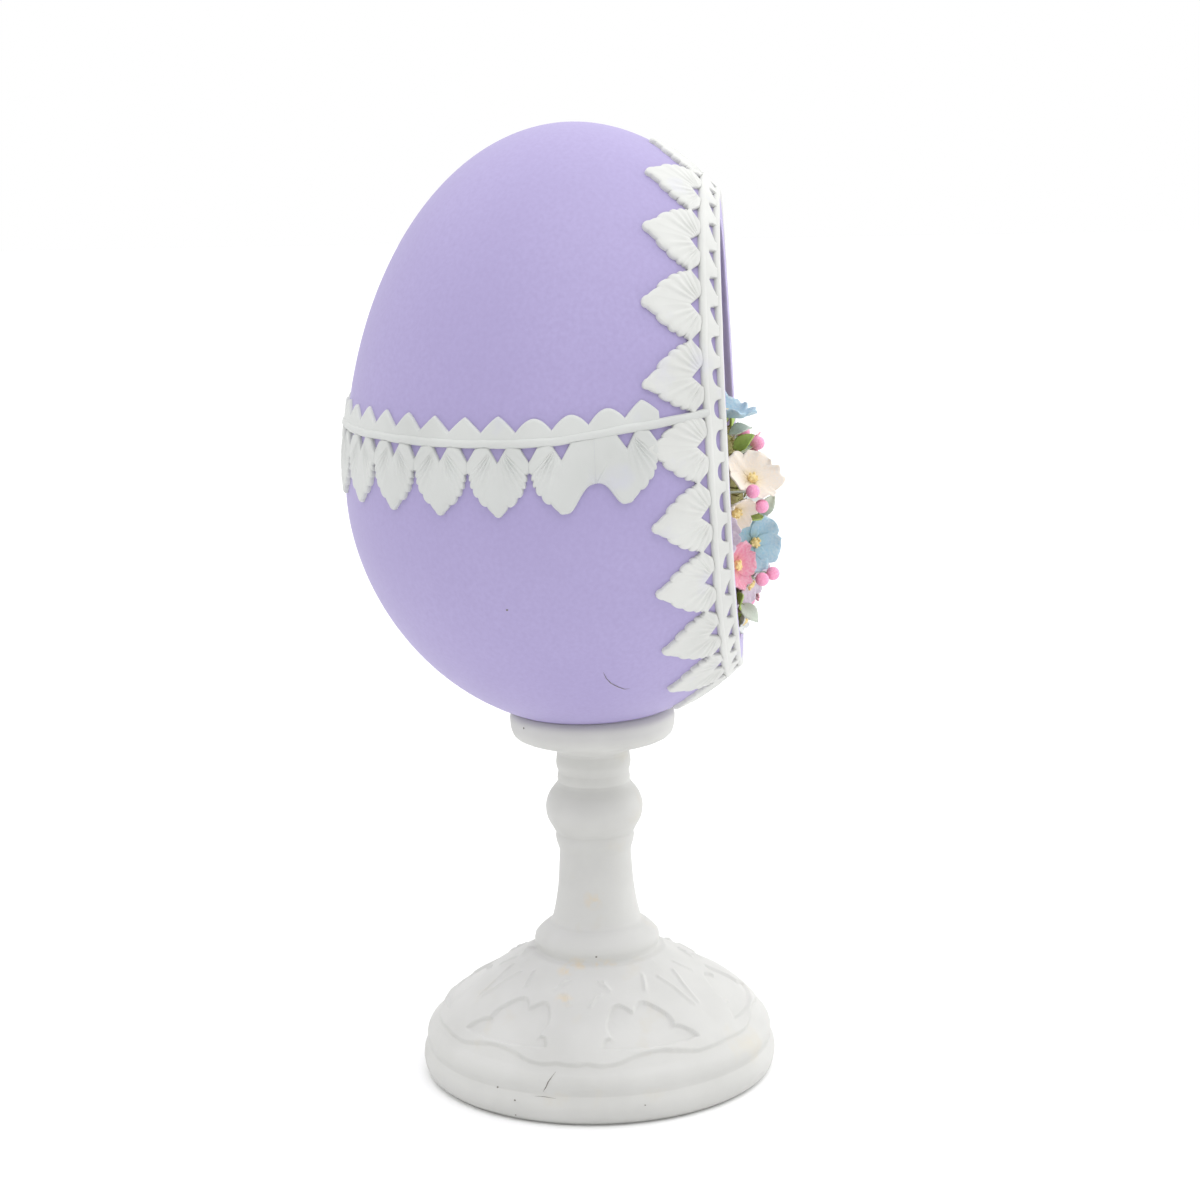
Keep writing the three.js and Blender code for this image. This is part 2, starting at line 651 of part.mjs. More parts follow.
// Berries by the places of their balls.
const BERRIES = [
  [-10, -46.1, 175.8],
  [-30, -44.9, 166],
  [-26.2, -47.1, 161.5],
  [-22, -47, 141.5],
  [-18, -49.8, 142.3],
  [11, -42, 176],
  [10.8, -47, 161.8],
  [-1, -47.5, 146.5],
  [12.4, -43, 129.5],
];

// Leaves: material, foot, tip, and degrees round and up that the blade faces.
const LEAVES = [
  [PALE_LEAF, [-13, -38.6, 178.5], [-13, -44.6, 180], 60, 60],
  [LEAF, [-14, -40.2, 174.5], [-14.5, -45.2, 178.6], 60, 45],
  [LEAF, [-22, -42, 156.6], [-22.5, -47.5, 157.6], 60, 60],
  [PALE_LEAF, [-13, -46.6, 157], [-14, -50.2, 162.6], 75, 20],
  [PALE_LEAF, [-17, -41.2, 134], [-17.8, -45.6, 129.4], 50, -10],
  [LEAF, [26, -37.8, 175], [30, -37, 182], -20, 40],
  [PALE_LEAF, [28, -38.2, 141.5], [32, -37, 137], -30, -10],
  [LEAF, [-42, -30.5, 158], [-46, -32, 163], 60, 20],
  [LEAF, [-24, -40, 138], [-29, -40.8, 135], 30, -20],
];

// ---------------------------------------------------------------- the object

const ornament = new THREE.Group();
ornament.add(named("pedestal", asGeometry(pedestal()), WHITE));

const egg = new THREE.Group();
egg.applyMatrix4(eggFrame);
const junction = onOpening(BAR_SHARE, FAN_START + TOUCH_GAP, 0);
const bandBack = junction.y * Math.cos(OPENING_LEAN) + (EGG_WIDEST - junction.z) * Math.sin(OPENING_LEAN);
const band = frontOf(bandBack + OPENING_REACH);
const trimmed = frontOf(bandBack + OPENING_REACH - TOUCH_GAP);
const clearances = [-1, 1].map((side) => waistClearance(side).subtract(trimmed));
const fittedOpening = clearances.reduce((lace, clearance) => lace.subtract(clearance), openingLace());
egg.add(named("egg_shell", asGeometry(eggShell()), LAVENDER));
egg.add(named("opening_lace", asGeometry(fittedOpening), WHITE));
egg.add(named("waist_lace", asGeometry(waistLace().subtract(band)), WHITE));
ornament.add(egg);

ornament.add(named("moss_mound", asGeometry(mossMound()), MOSS));
FLOWERS.forEach(([colour, ...rest], i) => {
  ornament.add(flower(`flower_${colour}_${i + 1}`, colour, rest));
});
BERRIES.forEach((place, i) => ornament.add(berry(`berry_${i + 1}`, place)));
LEAVES.forEach((rest, i) => ornament.add(leaf(`leaf_${i + 1}`, rest)));

export default ornament;
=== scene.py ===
"""Panoramic egg: lavender shell with an open front, moulded lace, paper flowers, white pedestal."""
import math
import random

import bpy
import numpy as np
from mathutils import Matrix, Vector, noise


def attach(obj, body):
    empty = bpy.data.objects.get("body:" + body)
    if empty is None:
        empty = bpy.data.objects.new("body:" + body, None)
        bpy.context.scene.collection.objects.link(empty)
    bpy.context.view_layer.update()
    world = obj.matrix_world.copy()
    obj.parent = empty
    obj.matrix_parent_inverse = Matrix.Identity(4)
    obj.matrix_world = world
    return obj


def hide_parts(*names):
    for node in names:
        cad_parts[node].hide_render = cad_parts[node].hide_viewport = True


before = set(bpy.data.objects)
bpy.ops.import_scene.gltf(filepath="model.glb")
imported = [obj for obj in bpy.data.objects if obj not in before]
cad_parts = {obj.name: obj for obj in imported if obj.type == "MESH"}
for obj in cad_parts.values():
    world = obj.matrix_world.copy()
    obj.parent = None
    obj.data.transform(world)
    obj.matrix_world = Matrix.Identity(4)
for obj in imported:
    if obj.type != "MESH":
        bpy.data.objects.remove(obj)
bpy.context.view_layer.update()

# A millimetre in metres, and how close in millimetres points are that meet.
MM = 0.001
MEETING = 0.001

# ---------------- driving dimensions, in millimetres

# Egg, measured from its own bottom point along its own axis.
EGG_RADIUS = 63.5
EGG_WIDEST = 66
EGG_LENGTH = 161.6
LOWER_FULLNESS = 1.85
UPPER_FULLNESS = 1.97
EGG_SEAT = 98.4
EGG_LEAN = math.radians(1.05)
SHELL_WALL = 4
RIM_ROUNDING = 0.2
EGG_COLUMNS = 240
EGG_ROWS = 84
EGG_CENTRE = (0, 0, 175)

# Opening: a flat cut in front of the egg's axis.
OPENING_REACH = 40.7
OPENING_LEAN = math.radians(1.2)
OPENING_CENTRE = 80

# Table of the egg's surface behind the rim: steps round it, and how far back it goes.
TABLE_TURNS = 720
TABLE_FROM = -2
TABLE_TO = 30
TABLE_STEP = 0.5

# Lace pattern: measured along a bar and away from the middle of it.
PITCH = 16.3
HALF_PITCH = PITCH / 2
BAR_HALF = 1.0
EYELET_HALF = 2.3
FAN_WIDE = 7.7
FAN_TIP = 18.9
TIP_LOBE = 0.14
TIP_WIDE = 0.17
FUSED_VALLEY = 12.4
OPENING_FANS = 22
OPENING_SHIFT = 0.27
OPENING_BAR_AT = 5.6
OPENING_FAN_SCALE = 0.899
OPENING_AROUND = OPENING_FANS * PITCH
WAIST_FANS = 15
WAIST_PITCH = 16.32
WAIST_SHIFT = 2.0
WAIST_END = 139.0
WAIST_HEIGHT = 87.7
WAIST_RISE = math.radians(3.4)
WAIST_FAN_SCALE = 0.96

# Lace: its thickness, how deep its sides are sunk, and the foot of a rounded edge as a share.
LACE_THICK = 1.1
LACE_SUNK = -0.5
EDGE_FOOT = 0.35
RIB_RISE = 0.36
FAN_HOLLOW = 0.25

# Bars: middle, half width and height, and a depth that is past any bar. The waist's bar has melted
# into the lace round one place, where it may stand no higher than its cap.
OPENING_BAR = (0, 1.08, 0.95)
RIM_BAR_AT = -4.25
RIM_BAR = (RIM_BAR_AT, 0.85, 0.95)
WAIST_BAR = (0, 1.2, 1.15)
BAR_FOOT = 0.3
BAR_SUNK = -0.8
BAR_STEP = 0.8
TO_BAR = 9
NO_CAP = 9
MELTED_CAP = 1.28
MELTED_AT = 103
MELTED_HALF = 14

# Windows between the opening's bars: number, shift, limits of the half length, depth and skew.
WINDOWS = 47
WINDOW_PHASE = 0.12
WINDOW_HALF = (2.3, 2.8)
WINDOW_DEEP = 1.75
SKEW_FROM = 14
SKEW_OVER = 24

# Teeth above the waist's bar. The soft ones have lost their points.
TEETH = 27
SOFT_TEETH = (1, 2, 3)
TOOTH_PITCH = 9.3
TOOTH_FIRST = 120.9
TOOTH_BASE = 2.7
TOOTH_HEIGHT = 3.9

# Fans: depths of the eyelets and of the slots between fans, fullness, and where along are notches.
OPENING_FAN = (3.1, 5.0, 1.5, (0, 0.08, 0.25, 0.47, 0.72, 1))
WAIST_FAN = (3.9, 7.6, 2.2, (0, 0.2, 0.36, 0.58, 0.8, 1))

# How the lace strays round the opening: along, slides at the bar and at the tips, shift outward.
OPENING_STRAY = [
    (4.4, -4.5, -1.0, 0.9),
    (20.7, -4.2, 0.5, 0.9),
    (37.0, -2.2, -0.1, 0.8),
    (53.3, -1.6, 1.1, 0.7),
    (69.6, -0.9, 2.3, 0.7),
    (85.9, -0.6, -0.8, 0.1),
    (102.2, -0.7, -0.6, 0.0),
    (118.5, -0.3, -1.9, 0.2),
    (134.8, 0.0, -2.0, 0.1),
    (151.1, 0.0, -3.0, 0.1),
    (190.0, 0.0, 0.0, 0.0),
    (330.0, -2.0, -1.0, 0.5),
]

# How the lace strays round the waist: distance from the middle of the back, and rise.
WAIST_STRAY = [
    (0, 1.6), (17, 1.6), (44, 0.6), (52, 0), (60, -0.45), (67.5, -0.95), (75, -1.4),
    (83.4, -1.85), (90.6, -2.15), (99.6, -2.15), (117, -0.95), (126, -0.7), (134, -0.3), (140, 0),
]

# Pedestal: each turned moulding's outline as (radius, height).
PLINTH = [(46.8, 0.3), (48.4, 1.5), (49.1, 4.5), (48.9, 6.4), (47.9, 8.0)]
STEP = [(47.7, 8.4), (48.0, 9.5), (48.0, 11), (47.2, 13), (45.6, 14.4)]
DOME = [(45.3, 14.7), (43.1, 17), (39.6, 20), (30.3, 26), (22, 31), (18.8, 33), (17.3, 34.3)]
COLLAR = [(16.9, 34.7), (17.3, 36), (17.1, 38), (15.2, 40), (13.4, 41.4)]
SHAFT = [(12.6, 41.8), (12.2, 43), (11.45, 46), (10.5, 52), (10.0, 59), (9.9, 62)]
LOW_BEAD = [(9.95, 62.6), (10.6, 64.6), (10.9, 66.2), (10.6, 67.3)]
BALL = [
    (10.9, 67.6), (11.6, 69), (12.95, 71.5), (13.4, 74.5), (12.9, 77), (11.9, 79), (10.7, 80.5),
    (9.9, 81.6),
]
FILLET = [(9.9, 81.9), (10.05, 82.7), (9.8, 84.2)]
HIGH_BEAD = [(9.7, 84.6), (10.2, 86), (10.3, 87.2), (10, 89.6), (9.9, 90.5)]
DISH = [(10.4, 90.8), (11.6, 91.5), (14.6, 92.6), (19.9, 94.3), (21.8, 95.6), (22.5, 97.9)]
DISH_RIM = [(22.5, 98.2), (22.6, 100.2), (22.3, 101.5), (21.6, 101.9)]
MOULDINGS = (PLINTH, STEP, DOME, COLLAR, SHAFT, LOW_BEAD, BALL, FILLET, HIGH_BEAD, DISH, DISH_RIM)
SPACING = 1.3
DOME_SPACING = 0.45
PEDESTAL_COLUMNS = 540
SEAT_RADIUS = 21.2
SEAT_ROWS = 12

# Relief on the dome: (degrees from a mirror line, height), over a sixth of the turn.
VIEW_AZIMUTH = math.radians(-175.58)
RELIEF_AXIS = -9.7
RELIEF_REPEAT = 120
RELIEF_THICK = 0.75
SCROLL_RISE = 0.4
LOWER_EDGE = [
    (0, 15.5), (5.4, 15.8), (10.5, 15.3), (15.6, 15.7), (22, 16.9), (28.8, 17.4), (33, 17.3),
    (46.5, 15.7), (60, 16),
]
WINDOW_ARCS = [
    ((10.3, 18.7), (12.2, 20.4), (14.7, 20.2)),
    ((14.7, 20.2), (12.9, 22.4), (13.6, 24.1)),
    ((13.6, 24.1), (18.5, 26.4), (25.8, 24.8)),
    ((25.8, 24.8), (33, 26.4), (41.7, 23.6)),
    ((41.7, 23.6), (42, 22), (40, 21.3)),
    ((40, 21.3), (44.5, 20.9), (49.1, 18.5)),
    ((49.1, 18.5), (30, 18.2), (10.3, 18.7)),
]
SCROLLS = [
    [(13.3, 30.4), (16.6, 28.8)],
    [(9.7, 30.5), (13.8, 29.7)],
    [(5.3, 26.3), (8, 27.8), (10.8, 28.2)],
    [(42.1, 30.8), (37.7, 28.2)],
    [(52.2, 29.9), (56.1, 27.5), (58.5, 23.8)],
]

# A lump beside the collar: where round the dome, its height there and its rise.
LUMP_TURN = math.radians(-84)
LUMP_HEIGHT = 33
LUMP_RISE = 1.3

# Marks with their reaches, widths or radii. Places on the pedestal are degrees right of the viewing
# direction and heights, and those on the egg are degrees of turn and heights.
STAINS = [
    ((-20.2, 33.7), 3.0), ((-11.5, 34.0), 2.4), ((0, 34.1), 2.2), ((10.5, 33.8), 2.4),
    ((-25.5, 32.4), 3.2), ((-20.2, 27.4), 2.6), ((-16.8, 27.0), 2.4), ((-4, 50.5), 3.4),
]
PEDESTAL_SPECKS = [
    ((-34.9, 8.2), 0.3), ((-27.7, 6.1), 0.3), ((-27.8, 1.8), 0.25), ((13.7, 5.6), 0.22),
    ((-1.3, 36.4), 0.3), ((54.7, 25.3), 0.25), ((-55, 99.8), 0.35),
]
# Cracks are drawn as dark lines laid on the surface: painted shade in the cracks.
CRACKS = [
    ([(-14.8, 14.2), (-16.7, 12.0), (-17.4, 10.6), (-18.5, 9.1)], 0.26),
    ([(-21.5, 7.7), (-18, 7.8), (-14.1, 7.6)], 0.12),
]
EGG_SPECKS = [((164.5, 42.6), 0.35)]
EGG_HAIRS = [(
    [(188.5, 24.1), (189.5, 22.1), (191.2, 20.3), (193.8, 18.9), (196.5, 17.9), (198.2, 18.1)],
    0.25,
)]
MARKS_ABOVE = 0.07

# Posy, as in the model it stands on.
MOUND_CENTRE = Vector((0, 4, 153))
MOUND_RADII = Vector((60, 47, 38))
TOUCH_GAP = 0.35
BERRY_RADIUS = 1.8
HEART_RADIUS = 1.25
PIP_RADIUS = 0.42
PIPS = 7
PETALS = 5
PETAL_MIDDLE = 8.5
PETAL_FOOT = 4
PAPER = 0.4
LEAF_WIDTH = 4
TUFTS = 2400

# Flowers: colour, then the heart's place, degrees round and up, radius, cup depth and spin.
FLOWERS = [
    ("blue", (-16, -37.6, 183.4), 12, 72, 7.2, 4.2, 20),
    ("cream", (-20, -44.1, 167.1), 56, 44, 8.1, 4, 35),
    ("cream", (-27.5, -39.8, 160.8), 50, -25, 5.4, 3.4, 10),
    ("mauve", (-36, -35.8, 156), 55, 0, 5.6, 2.6, 15),
    ("blue", (-17, -44.4, 150.4), 59, 8, 7.6, 2.8, 25),
    ("white", (-8, -42.8, 157), 25, 30, 6.6, 3, 30),
    ("pink", (-26.5, -39.6, 146.3), 36, 0, 6.4, 3, 0),
    ("mauve", (-10, -42.6, 138.8), 25, -32, 7.2, 3, 15),
    ("white", (-9.5, -40.8, 129), 15, -30, 4.2, 2.2, 44),
    ("white", (-38, -32.6, 168.5), 45, 10, 6, 2.6, 30),
    ("blue", (2, -35.5, 185.5), 0, 55, 7.6, 3, 50),
    ("pink", (2.5, -43.3, 168.8), 0, 5, 7.8, 3.2, 0),
    ("cream", (7.5, -43.8, 152.8), 0, 0, 7.6, 3, 40),
    ("pink", (5, -43.2, 138), 0, -5, 7.2, 3.2, 33),
    ("mauve", (6.8, -38.2, 126.5), 0, -38, 5.5, 2.4, 58),
    ("white", (18, -34.6, 182.6), -15, 45, 7.2, 3, 10),
    ("blue", (18.5, -41.5, 167), -18, 8, 7.6, 3, 60),
    ("mauve", (34.5, -35.4, 167), -40, 5, 7, 2.8, 5),
    ("cream", (25, -39.9, 151.5), -28, 0, 7.8, 3, 50),
    ("blue", (20.5, -40.7, 137), -22, -5, 7.2, 3, 12),
]

# Berries by the places of their balls.
BERRIES = [
    (-10, -46.1, 175.8),
    (-30, -44.9, 166),
    (-26.2, -47.1, 161.5),
    (-22, -47, 141.5),
    (-18, -49.8, 142.3),
    (11, -42, 176),
    (10.8, -47, 161.8),
    (-1, -47.5, 146.5),
    (12.4, -43, 129.5),
]

# Leaves: colour, foot, tip, and degrees round and up that the blade faces.
LEAVES = [
    ("pale", (-13, -38.6, 178.5), (-13, -44.6, 180), 60, 60),
    ("green", (-14, -40.2, 174.5), (-14.5, -45.2, 178.6), 60, 45),
    ("green", (-22, -42, 156.6), (-22.5, -47.5, 157.6), 60, 60),
    ("pale", (-13, -46.6, 157), (-14, -50.2, 162.6), 75, 20),
    ("pale", (-17, -41.2, 134), (-17.8, -45.6, 129.4), 50, -10),
    ("green", (26, -37.8, 175), (30, -37, 182), -20, 40),
    ("pale", (28, -38.2, 141.5), (32, -37, 137), -30, -10),
    ("green", (-42, -30.5, 158), (-46, -32, 163), 60, 20),
    ("green", (-24, -40, 138), (-29, -40.8, 135), 30, -20),
]

# Camera, where the photograph was taken from.
CAMERA_SPOT = (-693.9, -53.6, 268.1)
CAMERA_AIM = (-8.7, -3.4, 133.7)
CAMERA_ROLL = math.radians(1.22)
CAMERA_LENS = 78.3

# Lamps, in metres and watts: place, what is faced, size and power. Sky: along each axis, the limits
# between which its strength goes from one value to another.
OVERHEAD = ((-0.5, -0.3, 1.3), (0, 0, 0.15), 0.8, 3)
FRONT_FILL = ((0.6, -1.2, 0.45), (0, 0, 0.16), 0.8, 5)
SKY = (("X", -0.6, 0.1, 0.59, 1.0), ("Z", 0.3, 0.9, 0, 0.9))
FLOOR_HALF = 4000

# ---------------- meshes


class Shape:
    """Patches of points, in millimetres, gathered into one mesh."""

    def __init__(self):
        self.points = []
        self.faces = []
        self.count = 0

    def grid(self, points, closed=False, flip=False):
        """A sheet of quads over an array of rows by columns by three."""
        rows, columns = points.shape[:2]
        index = self.count + np.arange(rows * columns).reshape(rows, columns)
        if closed:
            index = np.concatenate([index, index[:, :1]], axis=1)
        corners = [index[:-1, :-1], index[:-1, 1:], index[1:, 1:], index[1:, :-1]]
        if flip:
            corners.reverse()
        self.points.append(points.reshape(-1, 3))
        self.faces.append(np.stack(corners, axis=-1).reshape(-1, 4))
        self.count += rows * columns

    def piece(self, name, material, origin=(0, 0, 0)):
        """Makes the object: points that meet are joined, and faces with no area are dropped."""
        points = np.concatenate(self.points) - np.array(origin)
        faces = np.concatenate(self.faces)
        keys = np.round(points / MEETING).astype(np.int64)
        _, first, same = np.unique(keys, axis=0, return_index=True, return_inverse=True)
        points = points[first]
        kept = []
        seen = set()
        for face in same.reshape(-1)[faces]:
            corners = [int(corner) for corner in face]
            corners = [c for i, c in enumerate(corners) if c != corners[i - 1]]
            key = tuple(sorted(corners))
            if len(set(corners)) == len(corners) and len(corners) > 2 and key not in seen:
                seen.add(key)
                kept.append(corners)
        mesh = bpy.data.meshes.new(name)
        mesh.from_pydata((points * MM).tolist(), [], kept)
        mesh.update()
        mesh.polygons.foreach_set("use_smooth", [True] * len(mesh.polygons))
        mesh.materials.append(material)
        piece = bpy.data.objects.new(name, mesh)
        piece.location = Vector(origin) * MM
        bpy.context.collection.objects.link(piece)
        return piece


def unit(vectors):
    """Vectors brought to a length of one."""
    return vectors / np.maximum(np.linalg.norm(vectors, axis=-1, keepdims=True), 1e-9)


def round_axis(radius, turn, height):
    """Points at a radius and a height, turned round an upright axis."""
    return np.stack([radius * np.cos(turn), radius * np.sin(turn), height + 0 * turn], axis=-1)


def all_round(count):
    """Angles spread evenly over a full turn."""
    return np.linspace(0, 2 * math.pi, count, endpoint=False)


def lengths_along(points):
    """How far along a chain each of its points is."""
    return np.concatenate([[0], np.cumsum(np.linalg.norm(np.diff(points, axis=0), axis=1))])


def onward(point, direction, run):
    """A point moved along a direction."""
    return np.array(point) + np.array(direction) * run


def bisect(near, far, rounds, holds):
    """Closes in, between values for which a test holds and others, on where it ceases to hold."""
    for _ in range(rounds):
        middle = (near + far) / 2
        held = holds(middle)
        near, far = np.where(held, middle, near), np.where(held, far, middle)
    return near, far


def placed(points, at, facing, spin=0.0):
    """Points about their own origin, with +Z turned to face a direction."""
    turn = Vector((0, 0, 1)).rotation_difference(facing).to_matrix() @ Matrix.Rotation(spin, 3, "Z")
    return points @ np.array(turn).T + np.array(at)


def sheet_solid(shape, points, thick):
    """A thin closed sheet from a grid of its top face's points."""
    normal = unit(np.cross(np.gradient(points, axis=0), np.gradient(points, axis=1)))
    under = points - normal * thick
    shape.grid(points)
    shape.grid(under, flip=True)
    sides = [
        np.concatenate([face[0], face[1:, -1], face[-1, -2::-1], face[-2:0:-1, 0]])
        for face in (under, points)
    ]
    shape.grid(np.stack(sides), closed=True)


# ---------------- egg surface


def egg_radius(height):
    above = np.asarray(height, dtype=float) - EGG_WIDEST
    reach = np.where(above < 0, EGG_WIDEST, EGG_LENGTH - EGG_WIDEST)
    fullness = np.where(above < 0, LOWER_FULLNESS, UPPER_FULLNESS)
    share = np.clip(np.abs(above) / reach, 0, 1)
    return EGG_RADIUS * np.sqrt(1 - share ** fullness)


def egg_slope(height):
    return (egg_radius(height + 0.05) - egg_radius(height - 0.05)) / 0.1


def inner_radius(height):
    outer = np.linspace(0.2, EGG_LENGTH - 0.2, 600)
    slope = egg_slope(outer)
    length = np.hypot(slope, 1)
    heights = outer + SHELL_WALL * slope / length
    return np.interp(height, heights, egg_radius(outer) - SHELL_WALL / length)


def egg_normal(points):
    radius = np.maximum(np.hypot(points[..., 0], points[..., 1]), 1e-6)
    slope = egg_slope(points[..., 2])
    return unit(np.stack([points[..., 0] / radius, points[..., 1] / radius, -slope], axis=-1))


def to_world(points):
    """From the leaning egg's own frame to the object's."""
    cos, sin = math.cos(EGG_LEAN), math.sin(EGG_LEAN)
    x, y, z = points[..., 0], points[..., 1], points[..., 2]
    return np.stack([x, y * cos + z * sin, EGG_SEAT - y * sin + z * cos], axis=-1)


def ray_hit(turn, back, radius_at=egg_radius, margin=0):
    """Where a ray from the opening's middle meets the egg, by its turn and its angle back."""
    aside = np.sin(back)
    ahead = -np.cos(back) * np.ones_like(turn)
    direction = np.stack([np.cos(turn) * aside, ahead, np.sin(turn) * aside], axis=-1)

    def inside(reach):
        point = direction * reach[..., None]
        height = point[..., 2] + OPENING_CENTRE
        within = (height > margin) & (height < EGG_LENGTH - margin)
        return within & (np.hypot(point[..., 0], point[..., 1]) < radius_at(height))

    start = np.zeros(direction.shape[:-1])
    reach, _ = bisect(start, start + EGG_LENGTH, 40, inside)
    return direction * reach[..., None] + np.array([0, 0, OPENING_CENTRE])


def rim_back(turn, radius_at=egg_radius, margin=0):
    """The angle back at which the flat cut meets a surface."""

    def cut_off(back):
        point = ray_hit(turn, back, radius_at, margin)
        across = -point[..., 1] * math.cos(OPENING_LEAN)
        return across + (point[..., 2] - EGG_WIDEST) * math.sin(OPENING_LEAN) > OPENING_REACH

    return bisect(np.full(turn.shape, 0.1), np.full(turn.shape, math.pi / 2), 32, cut_off)[1]


def rounded_corner(before, corner, after, steps=4):
    """Rows that round a corner between two rows."""
    shares = np.linspace(0, 1, steps + 1)
    return [before * (1 - t) ** 2 + corner * 2 * t * (1 - t) + after * t ** 2 for t in shares]


def egg_shell(material, lining):
    """One closed skin: the outside from the back to the rim, the rim, and the lining back again."""
    turn = math.pi / 2 + all_round(EGG_COLUMNS)
    shares = np.linspace(1, 0.012, EGG_ROWS)

    def skin(shares, *surface):
        rim = rim_back(turn, *surface)
        return [ray_hit(turn, rim + (math.pi - rim) * share, *surface) for share in shares]

    *rows, outer_rim = skin([*shares, 0])
    inner_rim, *lined = skin([0, *shares[::-2]], inner_radius, SHELL_WALL)
    rounding = (inner_rim - outer_rim) * RIM_ROUNDING
    rows += rounded_corner(rows[-1], outer_rim, outer_rim + rounding)
    rows += rounded_corner(inner_rim - rounding, inner_rim, lined[0])
    rows += lined[1:]
    shape = Shape()
    shape.grid(to_world(np.stack(rows)), closed=True)
    shell = shape.piece("shell", material)
    # Faces that look inward take the paler lavender, which is painted light standing in for light
    # falling into the hollow.
    shell.data.materials.append(lining)
    for face in shell.data.polygons:
        if face.normal.dot(face.center - Vector(EGG_CENTRE) * MM) < 0:
            face.material_index = 1
    return shell


# ---------------- where lace lies


def opening_table():
    """Surface points by share of the rim's length and by distance back from the rim."""
    turn = math.pi / 2 + np.linspace(0, 2 * math.pi, TABLE_TURNS + 1)
    length = lengths_along(ray_hit(turn, rim_back(turn)))
    even = np.interp(np.linspace(0, length[-1], TABLE_TURNS + 1), length, turn)
    steps = np.linspace(-0.04, 0.7, 75)
    lines = ray_hit(even[:, None], rim_back(even)[:, None] + steps)
    wanted = np.arange(TABLE_FROM, TABLE_TO + TABLE_STEP, TABLE_STEP)
    table = []
    for line in lines:
        distance = lengths_along(line)
        distance -= np.interp(0, steps, distance)
        table.append([np.interp(wanted, distance, axis) for axis in line.T])
    return np.array(table).transpose(0, 2, 1)


OPENING_TABLE = opening_table()


def lift(points, height):
    """Points raised above the egg's surface, in the object's frame."""
    return to_world(points + egg_normal(points) * np.asarray(height)[..., None])


def on_opening(along, depth, height):
    """Lace round the opening: depth is counted from the middle of its second bar."""
    spots, at_bar, at_tips, outward = zip(*OPENING_STRAY)

    def stray(values):
        return np.interp(along, spots, values, period=OPENING_AROUND)

    toward_tips = np.clip(depth / FAN_TIP, 0, 1)
    slide = stray(at_bar) * (1 - toward_tips) + stray(at_tips) * toward_tips
    share = ((along + slide) / OPENING_AROUND) % 1 * TABLE_TURNS
    distance = OPENING_BAR_AT + np.where(depth > 0, depth * OPENING_FAN_SCALE, depth)
    distance = distance + stray(outward) * np.clip(1 - depth / RIM_BAR_AT, 0, 1)
    last = OPENING_TABLE.shape[1] - 1
    column = np.clip((distance - TABLE_FROM) / TABLE_STEP, 0, last - 0.001)
    row = np.clip(share.astype(int), 0, TABLE_TURNS - 1)
    side = column.astype(int)
    u = (share - row)[..., None]
    v = (column - side)[..., None]
    at, after = (
        OPENING_TABLE[i, side] * (1 - v) + OPENING_TABLE[i, side + 1] * v for i in (row, row + 1)
    )
    return lift(at * (1 - u) + after * u, height)


SIDE_HEIGHTS = np.linspace(0, EGG_LENGTH, 1200)
SIDE_LENGTHS = lengths_along(np.stack([SIDE_HEIGHTS, egg_radius(SIDE_HEIGHTS)], axis=1))


def on_waist(along, depth, height):
    """Lace round the waist: along from the middle of the back, depth down from its bar."""
    turn = math.pi / 2 + along / EGG_RADIUS
    level = WAIST_HEIGHT - EGG_RADIUS * np.sin(turn) * math.tan(WAIST_RISE)
    level = level + np.interp(np.abs(along), *zip(*WAIST_STRAY))
    length = np.interp(level, SIDE_HEIGHTS, SIDE_LENGTHS)
    length = length - np.where(depth > 0, depth * WAIST_FAN_SCALE, depth)
    up = np.interp(length, SIDE_LENGTHS, SIDE_HEIGHTS)
    return lift(round_axis(egg_radius(up), turn, up), height)


# ---------------- lace pattern


def edge_rise(distance, width):
    """How high a rounded edge has risen at a distance in from it, up to 1."""
    share = np.clip(distance / width, 0, 1)
    return EDGE_FOOT + (1 - EDGE_FOOT) * np.sqrt(1 - (1 - share) ** 2)


def fan_outline(style, rng):
    """Half of a scalloped fan from its eyelet to its tip: points, which are free, and ribs."""
    eyelet, slot, fullness, notches = style
    points = [
        (HALF_PITCH - EYELET_HALF * (1 - t), BAR_HALF + eyelet * t) for t in np.linspace(0, 1, 6)
    ]
    points += [(HALF_PITCH, slot), (HALF_PITCH - 0.3, slot + 0.15), (HALF_PITCH - 0.42, slot + 0.5)]
    free = [True] * 5 + [False, False, True, True]
    ribs = [0.5] * len(points)
    share = np.linspace(0, 1, 300)
    rounded = np.sqrt(np.clip(1 - ((share - 1 + TIP_LOBE) / TIP_LOBE) ** 2, 0, 1))
    widths = FAN_WIDE * np.maximum(1 - share ** fullness, TIP_WIDE * rounded)
    depths = slot + 0.6 + (FAN_TIP - slot - 0.6) * share
    length = lengths_along(np.stack([depths, widths], axis=1))
    notches = np.array(notches) + np.array([0, *(rng.uniform(-0.02, 0.02) for _ in range(4)), 0])
    for q in np.linspace(0.01, 1, 60):
        at = np.interp(q * length[-1], length, share)
        depth, width = np.interp(at, share, depths), np.interp(at, share, widths)
        phase = np.interp(at, notches, (0, 1, 2, 3, 4, 4.5))
        lobe = abs(math.sin(math.pi * phase)) ** 0.5
        cut = (1 - lobe) * (0.8 + 0.2 * at) * rng.uniform(0.9, 1.1)
        radius = math.hypot(width, depth)
        points.append((width * (1 - cut / radius), depth * (1 - cut / radius)))
        free.append(True)
        ribs.append(0.5 - 0.5 * math.cos(2 * math.pi * phase) * (1 - at ** 3))
    return points, free, ribs


def end_outline(style, rng):
    """Half of the last fan in a row, which has no neighbour to join."""
    points, free, ribs = fan_outline(style, rng)
    return points, [True] * len(free), ribs


